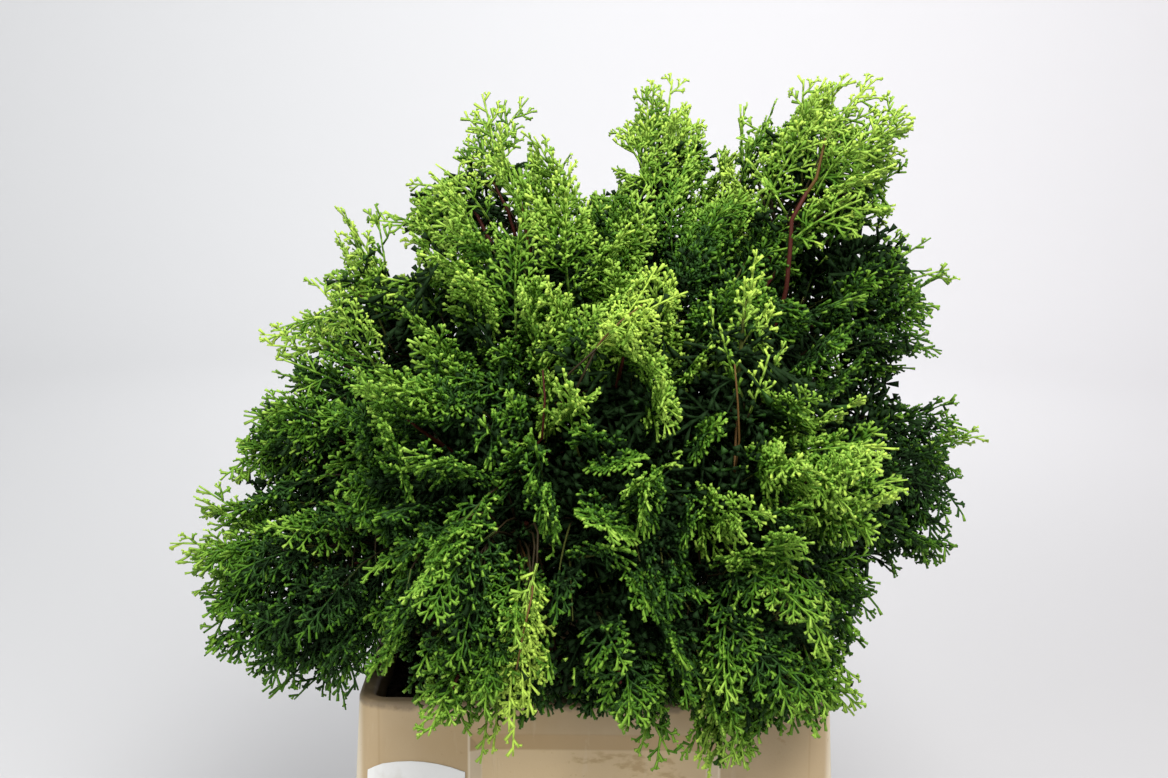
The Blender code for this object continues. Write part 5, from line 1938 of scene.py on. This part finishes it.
@dataclass
class Tub:
    """The tub, its edges rounded as a mould leaves them, and its label."""

    edge: float = 0.0011
    sharpest: float = math.radians(17.0)
    flat: float = math.radians(1.0)
    shaded_sharp: float = math.radians(28.0)

    def build_shell(self) -> None:
        """The shell, on the solid's own surface, with rounded edges."""
        node = frame["nodes"]["tub"]
        piece = node.copy()
        piece.data = node.data.copy()
        piece.name = "moulded_tub"
        piece.data.name = "moulded_tub"
        for key in [key for key in piece.keys() if key.startswith("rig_")]:
            del piece[key]
        piece.parent = None
        bpy.context.scene.collection.objects.link(piece)
        activate(piece)
        bpy.ops.object.mode_set(mode="EDIT")
        bpy.ops.mesh.select_all(action="SELECT")
        bpy.ops.mesh.remove_doubles(threshold=WELD)
        bpy.ops.mesh.dissolve_limited(angle_limit=self.flat)
        bpy.ops.object.mode_set(mode="OBJECT")
        bevel = piece.modifiers.new("edges", "BEVEL")
        bevel.width = self.edge
        bevel.segments = 3
        bevel.limit_method = "ANGLE"
        bevel.angle_limit = self.sharpest
        bevel.miter_outer = "MITER_ARC"
        apply_modifiers(piece)
        bpy.ops.object.shade_smooth_by_angle(angle=self.shaded_sharp)
        dress(piece, CreamPlastic().make())
        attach(piece, "root")
        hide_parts("tub")
        LOG.info("moulded_tub: %d faces", len(piece.data.polygons))

    def build(self) -> None:
        """Makes the shell and dresses the label."""
        self.build_shell()
        dress(frame["nodes"]["blank_label"], BlankPaper().make())
        LOG.info("blank_label: dressed")


@dataclass
class Soil:
    """The potting soil: a lumpy top with loose crumbs, on a body that fills the tub."""

    across: int = 96
    along: int = 72
    gap: float = 0.0009
    below: float = 0.006
    crumbs: int = 220
    crumbs_edge: float = 0.020
    seed: int = 77

    def half_sizes(self, height: float) -> tuple[float, float]:
        """Half the soil's length and depth at a height."""
        flare = TUB_FLARE * (1.0 - height / TUB_HEIGHT) - WALL - self.gap
        return TUB_WIDTH / 2 + flare, TUB_DEPTH / 2 + flare

    def build(self) -> None:
        """Makes the soil."""
        low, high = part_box("soil")
        top = high.z - self.below
        half_x, half_y = self.half_sizes(top)
        foot_x, foot_y = self.half_sizes(low.z)
        deselect()
        bpy.ops.mesh.primitive_grid_add(
            x_subdivisions=self.across, y_subdivisions=self.along, size=2.0,
            location=(0.0, 0.0, top),
        )
        piece = bpy.context.object
        piece.name = "crumbly_soil"
        piece.data.name = "crumbly_soil"
        bpy.ops.transform.resize(value=(half_x, half_y, 1.0))
        bpy.ops.object.transform_apply(location=True, rotation=True, scale=True)
        surface = piece.vertex_groups.new(name="surface")
        surface.add(range(len(piece.data.vertices)), 1.0, "REPLACE")
        bpy.ops.object.mode_set(mode="EDIT")
        bpy.ops.mesh.select_mode(type="EDGE")
        bpy.ops.mesh.select_all(action="DESELECT")
        bpy.ops.object.mode_set(mode="OBJECT")
        self.select_rim(piece, half_x, half_y)
        bpy.ops.object.mode_set(mode="EDIT")
        bpy.ops.mesh.extrude_region_move(TRANSFORM_OT_translate={"value": (0.0, 0.0, low.z - top)})
        narrower = (foot_x / half_x, foot_y / half_y, 1.0)
        bpy.ops.transform.resize(value=narrower, center_override=(0.0, 0.0, low.z))
        bpy.ops.mesh.edge_face_add()
        bpy.ops.mesh.select_all(action="SELECT")
        bpy.ops.mesh.normals_make_consistent(inside=False)
        bpy.ops.object.mode_set(mode="OBJECT")
        foot = [vert.index for vert in piece.data.vertices if vert.co.z < low.z + 0.001]
        surface.remove(foot)
        reliefs = (("heaps", 0.045, 0.006), ("lumps", 0.009, 0.005), ("grains", 0.003, 0.002))
        for label, size, strength in reliefs:
            add_relief(piece, label, size, strength, direction="Z", vertex_group="surface")
        apply_modifiers(piece)
        self.add_crumbs(piece, high)
        piece.data.shade_smooth()
        dress(piece, PottingSoil().make())
        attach(piece, "root")
        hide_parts("soil")
        LOG.info("crumbly_soil: %d faces", len(piece.data.polygons))

    @staticmethod
    def select_rim(piece: bpy.types.Object, half_x: float, half_y: float) -> None:
        """Selects the edges round the soil's surface."""
        for edge in piece.data.edges:
            ends = [piece.data.vertices[k].co for k in edge.vertices]
            on_x = all(abs(abs(end.x) - half_x) < 0.0001 for end in ends)
            on_y = all(abs(abs(end.y) - half_y) < 0.0001 for end in ends)
            edge.select = on_x or on_y

    def add_crumbs(self, piece: bpy.types.Object, high: Vector) -> None:
        """Joins loose crumbs to the soil's top."""
        rng = random.Random(self.seed)
        deselect()
        bpy.ops.mesh.primitive_ico_sphere_add(subdivisions=1, radius=1.0)
        pattern = bpy.context.object
        shape = np.array([vert.co for vert in pattern.data.vertices])
        faces = np.array([face.vertices for face in pattern.data.polygons])
        bpy.data.objects.remove(pattern)
        crumbs = []
        for _ in range(self.crumbs):
            x = rng.uniform(-1.0, 1.0) * (TUB_WIDTH / 2 - self.crumbs_edge)
            y = rng.uniform(-1.0, 1.0) * (TUB_DEPTH / 2 - self.crumbs_edge)
            size = rng.uniform(0.0012, 0.0038)
            lumps = np.array([rng.uniform(0.6, 1.2) for _ in shape])
            squash = np.array([rng.uniform(0.7, 1.4), rng.uniform(0.7, 1.4), 0.7])
            spot = np.array([x, y, high.z - self.below + size * 0.5])
            crumbs.append((shape * lumps[:, None] * squash * size + spot, faces))
        join([piece, mesh_piece("crumbs", *stack(crumbs), PottingSoil().make())])


@dataclass(frozen=True)
class Lamp:
    """A square soft lamp that faces a point."""

    name: str
    place: tuple
    aim: tuple
    size: float
    power: float
    tint: tuple = (1.0, 1.0, 1.0)

    def add(self) -> None:
        """Adds the lamp to the scene."""
        deselect()
        bpy.ops.object.light_add(type="AREA", location=self.place)
        lamp = bpy.context.object
        lamp.name = self.name
        lamp.data.shape = "SQUARE"
        lamp.data.size = self.size
        lamp.data.energy = self.power
        lamp.data.color = self.tint
        way = Vector(self.aim) - Vector(self.place)
        lamp.rotation_euler = way.to_track_quat("-Z", "Y").to_euler()


LAMPS = (
    Lamp("key_lamp", (0.5, -1.5, 2.3), (0.0, 0.0, 0.5), 1.3, 70.0, (1.0, 0.985, 0.96)),
    Lamp("fill_lamp", (-1.6, -1.3, 1.3), (0.0, 0.0, 0.5), 1.4, 20.0, (0.98, 0.99, 1.0)),
    Lamp("top_lamp", (0.0, 0.1, 2.4), (0.0, 0.05, 0.4), 1.5, 27.0),
    Lamp("wall_lamp", (0.3, 2.1, 2.6), (0.1, 4.6, 0.9), 1.8, 90.0),
)


@dataclass
class Studio:
    """The pale floor and wall, the soft lamps and the camera."""

    floor_radius: float = 3.0
    sweep: float = 1.5
    sweep_steps: int = 12
    wall_height: float = 1.7
    shaded_wall_left: tuple = (0.545, 0.552, 0.563)
    lit_wall_right: tuple = (0.560, 0.552, 0.568)
    sky: tuple = (1.0, 1.0, 0.99, 1.0)
    sky_strength: float = 0.42
    pitch: float = math.radians(78.0)
    roll: float = math.radians(0.5)
    lens: float = 50.0
    sensor: float = 36.0

    def build_room(self) -> None:
        """A round floor, which curves up into a wall all round."""
        deselect()
        bpy.ops.mesh.primitive_circle_add(vertices=96, radius=self.floor_radius, fill_type="NGON")
        room = bpy.context.object
        room.name = "pale_room"
        bpy.ops.object.mode_set(mode="EDIT")
        bpy.ops.mesh.select_mode(type="EDGE")
        bpy.ops.mesh.select_all(action="SELECT")
        bpy.ops.mesh.region_to_loop()
        radius, height = self.floor_radius, 0.0
        for k in range(1, self.sweep_steps + 1):
            turn = k / self.sweep_steps * math.pi / 2
            wider = self.floor_radius + self.sweep * math.sin(turn)
            higher = self.sweep * (1.0 - math.cos(turn))
            self.raise_rim(wider / radius, higher - height, height)
            radius, height = wider, higher
        self.raise_rim(1.0, self.wall_height, height)
        bpy.ops.mesh.select_all(action="SELECT")
        bpy.ops.mesh.normals_make_consistent(inside=False)
        bpy.ops.object.mode_set(mode="OBJECT")
        room.data.shade_smooth()
        mat = Recipe("pale_wall", Specular_IOR_Level=0.2)
        cloud = mat.noise(1.2, 3.0)
        x, _, _ = mat.axes()
        # The wall is painted a little darker and cooler on its left than on its right: painted
        # shade.
        side = x.step(-1.6, 1.6) * 0.85 + cloud * 0.15
        colour = mat.mix(side, self.shaded_wall_left, self.lit_wall_right)
        room.data.materials.append(mat.finish(colour, 0.75))

    @staticmethod
    def raise_rim(wider: float, higher: float, height: float) -> None:
        """Extrudes the selected rim up and scales it."""
        bpy.ops.mesh.extrude_region_move(TRANSFORM_OT_translate={"value": (0.0, 0.0, higher)})
        centre = (0.0, 0.0, height + higher)
        bpy.ops.transform.resize(value=(wider, wider, 1.0), center_override=centre)

    def build(self) -> None:
        """Makes the room, its lamps and the camera."""
        self.build_room()
        world = bpy.data.worlds.new("soft_daylight")
        bpy.context.scene.world = world
        world.use_nodes = True
        background = world.node_tree.nodes["Background"]
        background.inputs["Color"].default_value = self.sky
        background.inputs["Strength"].default_value = self.sky_strength
        for lamp in LAMPS:
            lamp.add()
        turn = Quaternion((1.0, 0.0, 0.0), self.pitch) @ Quaternion((0.0, 0.0, 1.0), self.roll)
        bpy.ops.object.camera_add(location=EYE, rotation=turn.to_euler())
        camera = bpy.context.object
        camera.data.lens = self.lens
        camera.data.sensor_width = self.sensor
        bpy.context.scene.camera = camera
        bpy.context.scene.view_settings.view_transform = "Standard"
        LOG.info("studio: room, %d lamps and the camera", len(LAMPS))


def main() -> None:
    """Builds the tub, the soil, the limbs, the crown and the studio, in that order."""
    logging.basicConfig(level=logging.INFO, format="%(message)s")
    Tub().build()
    Soil().build()
    limbs = Limbs()
    BarkedLimbs(limbs).build()
    Crown(limbs).build()
    Studio().build()


if __name__ == "__main__":
    main()
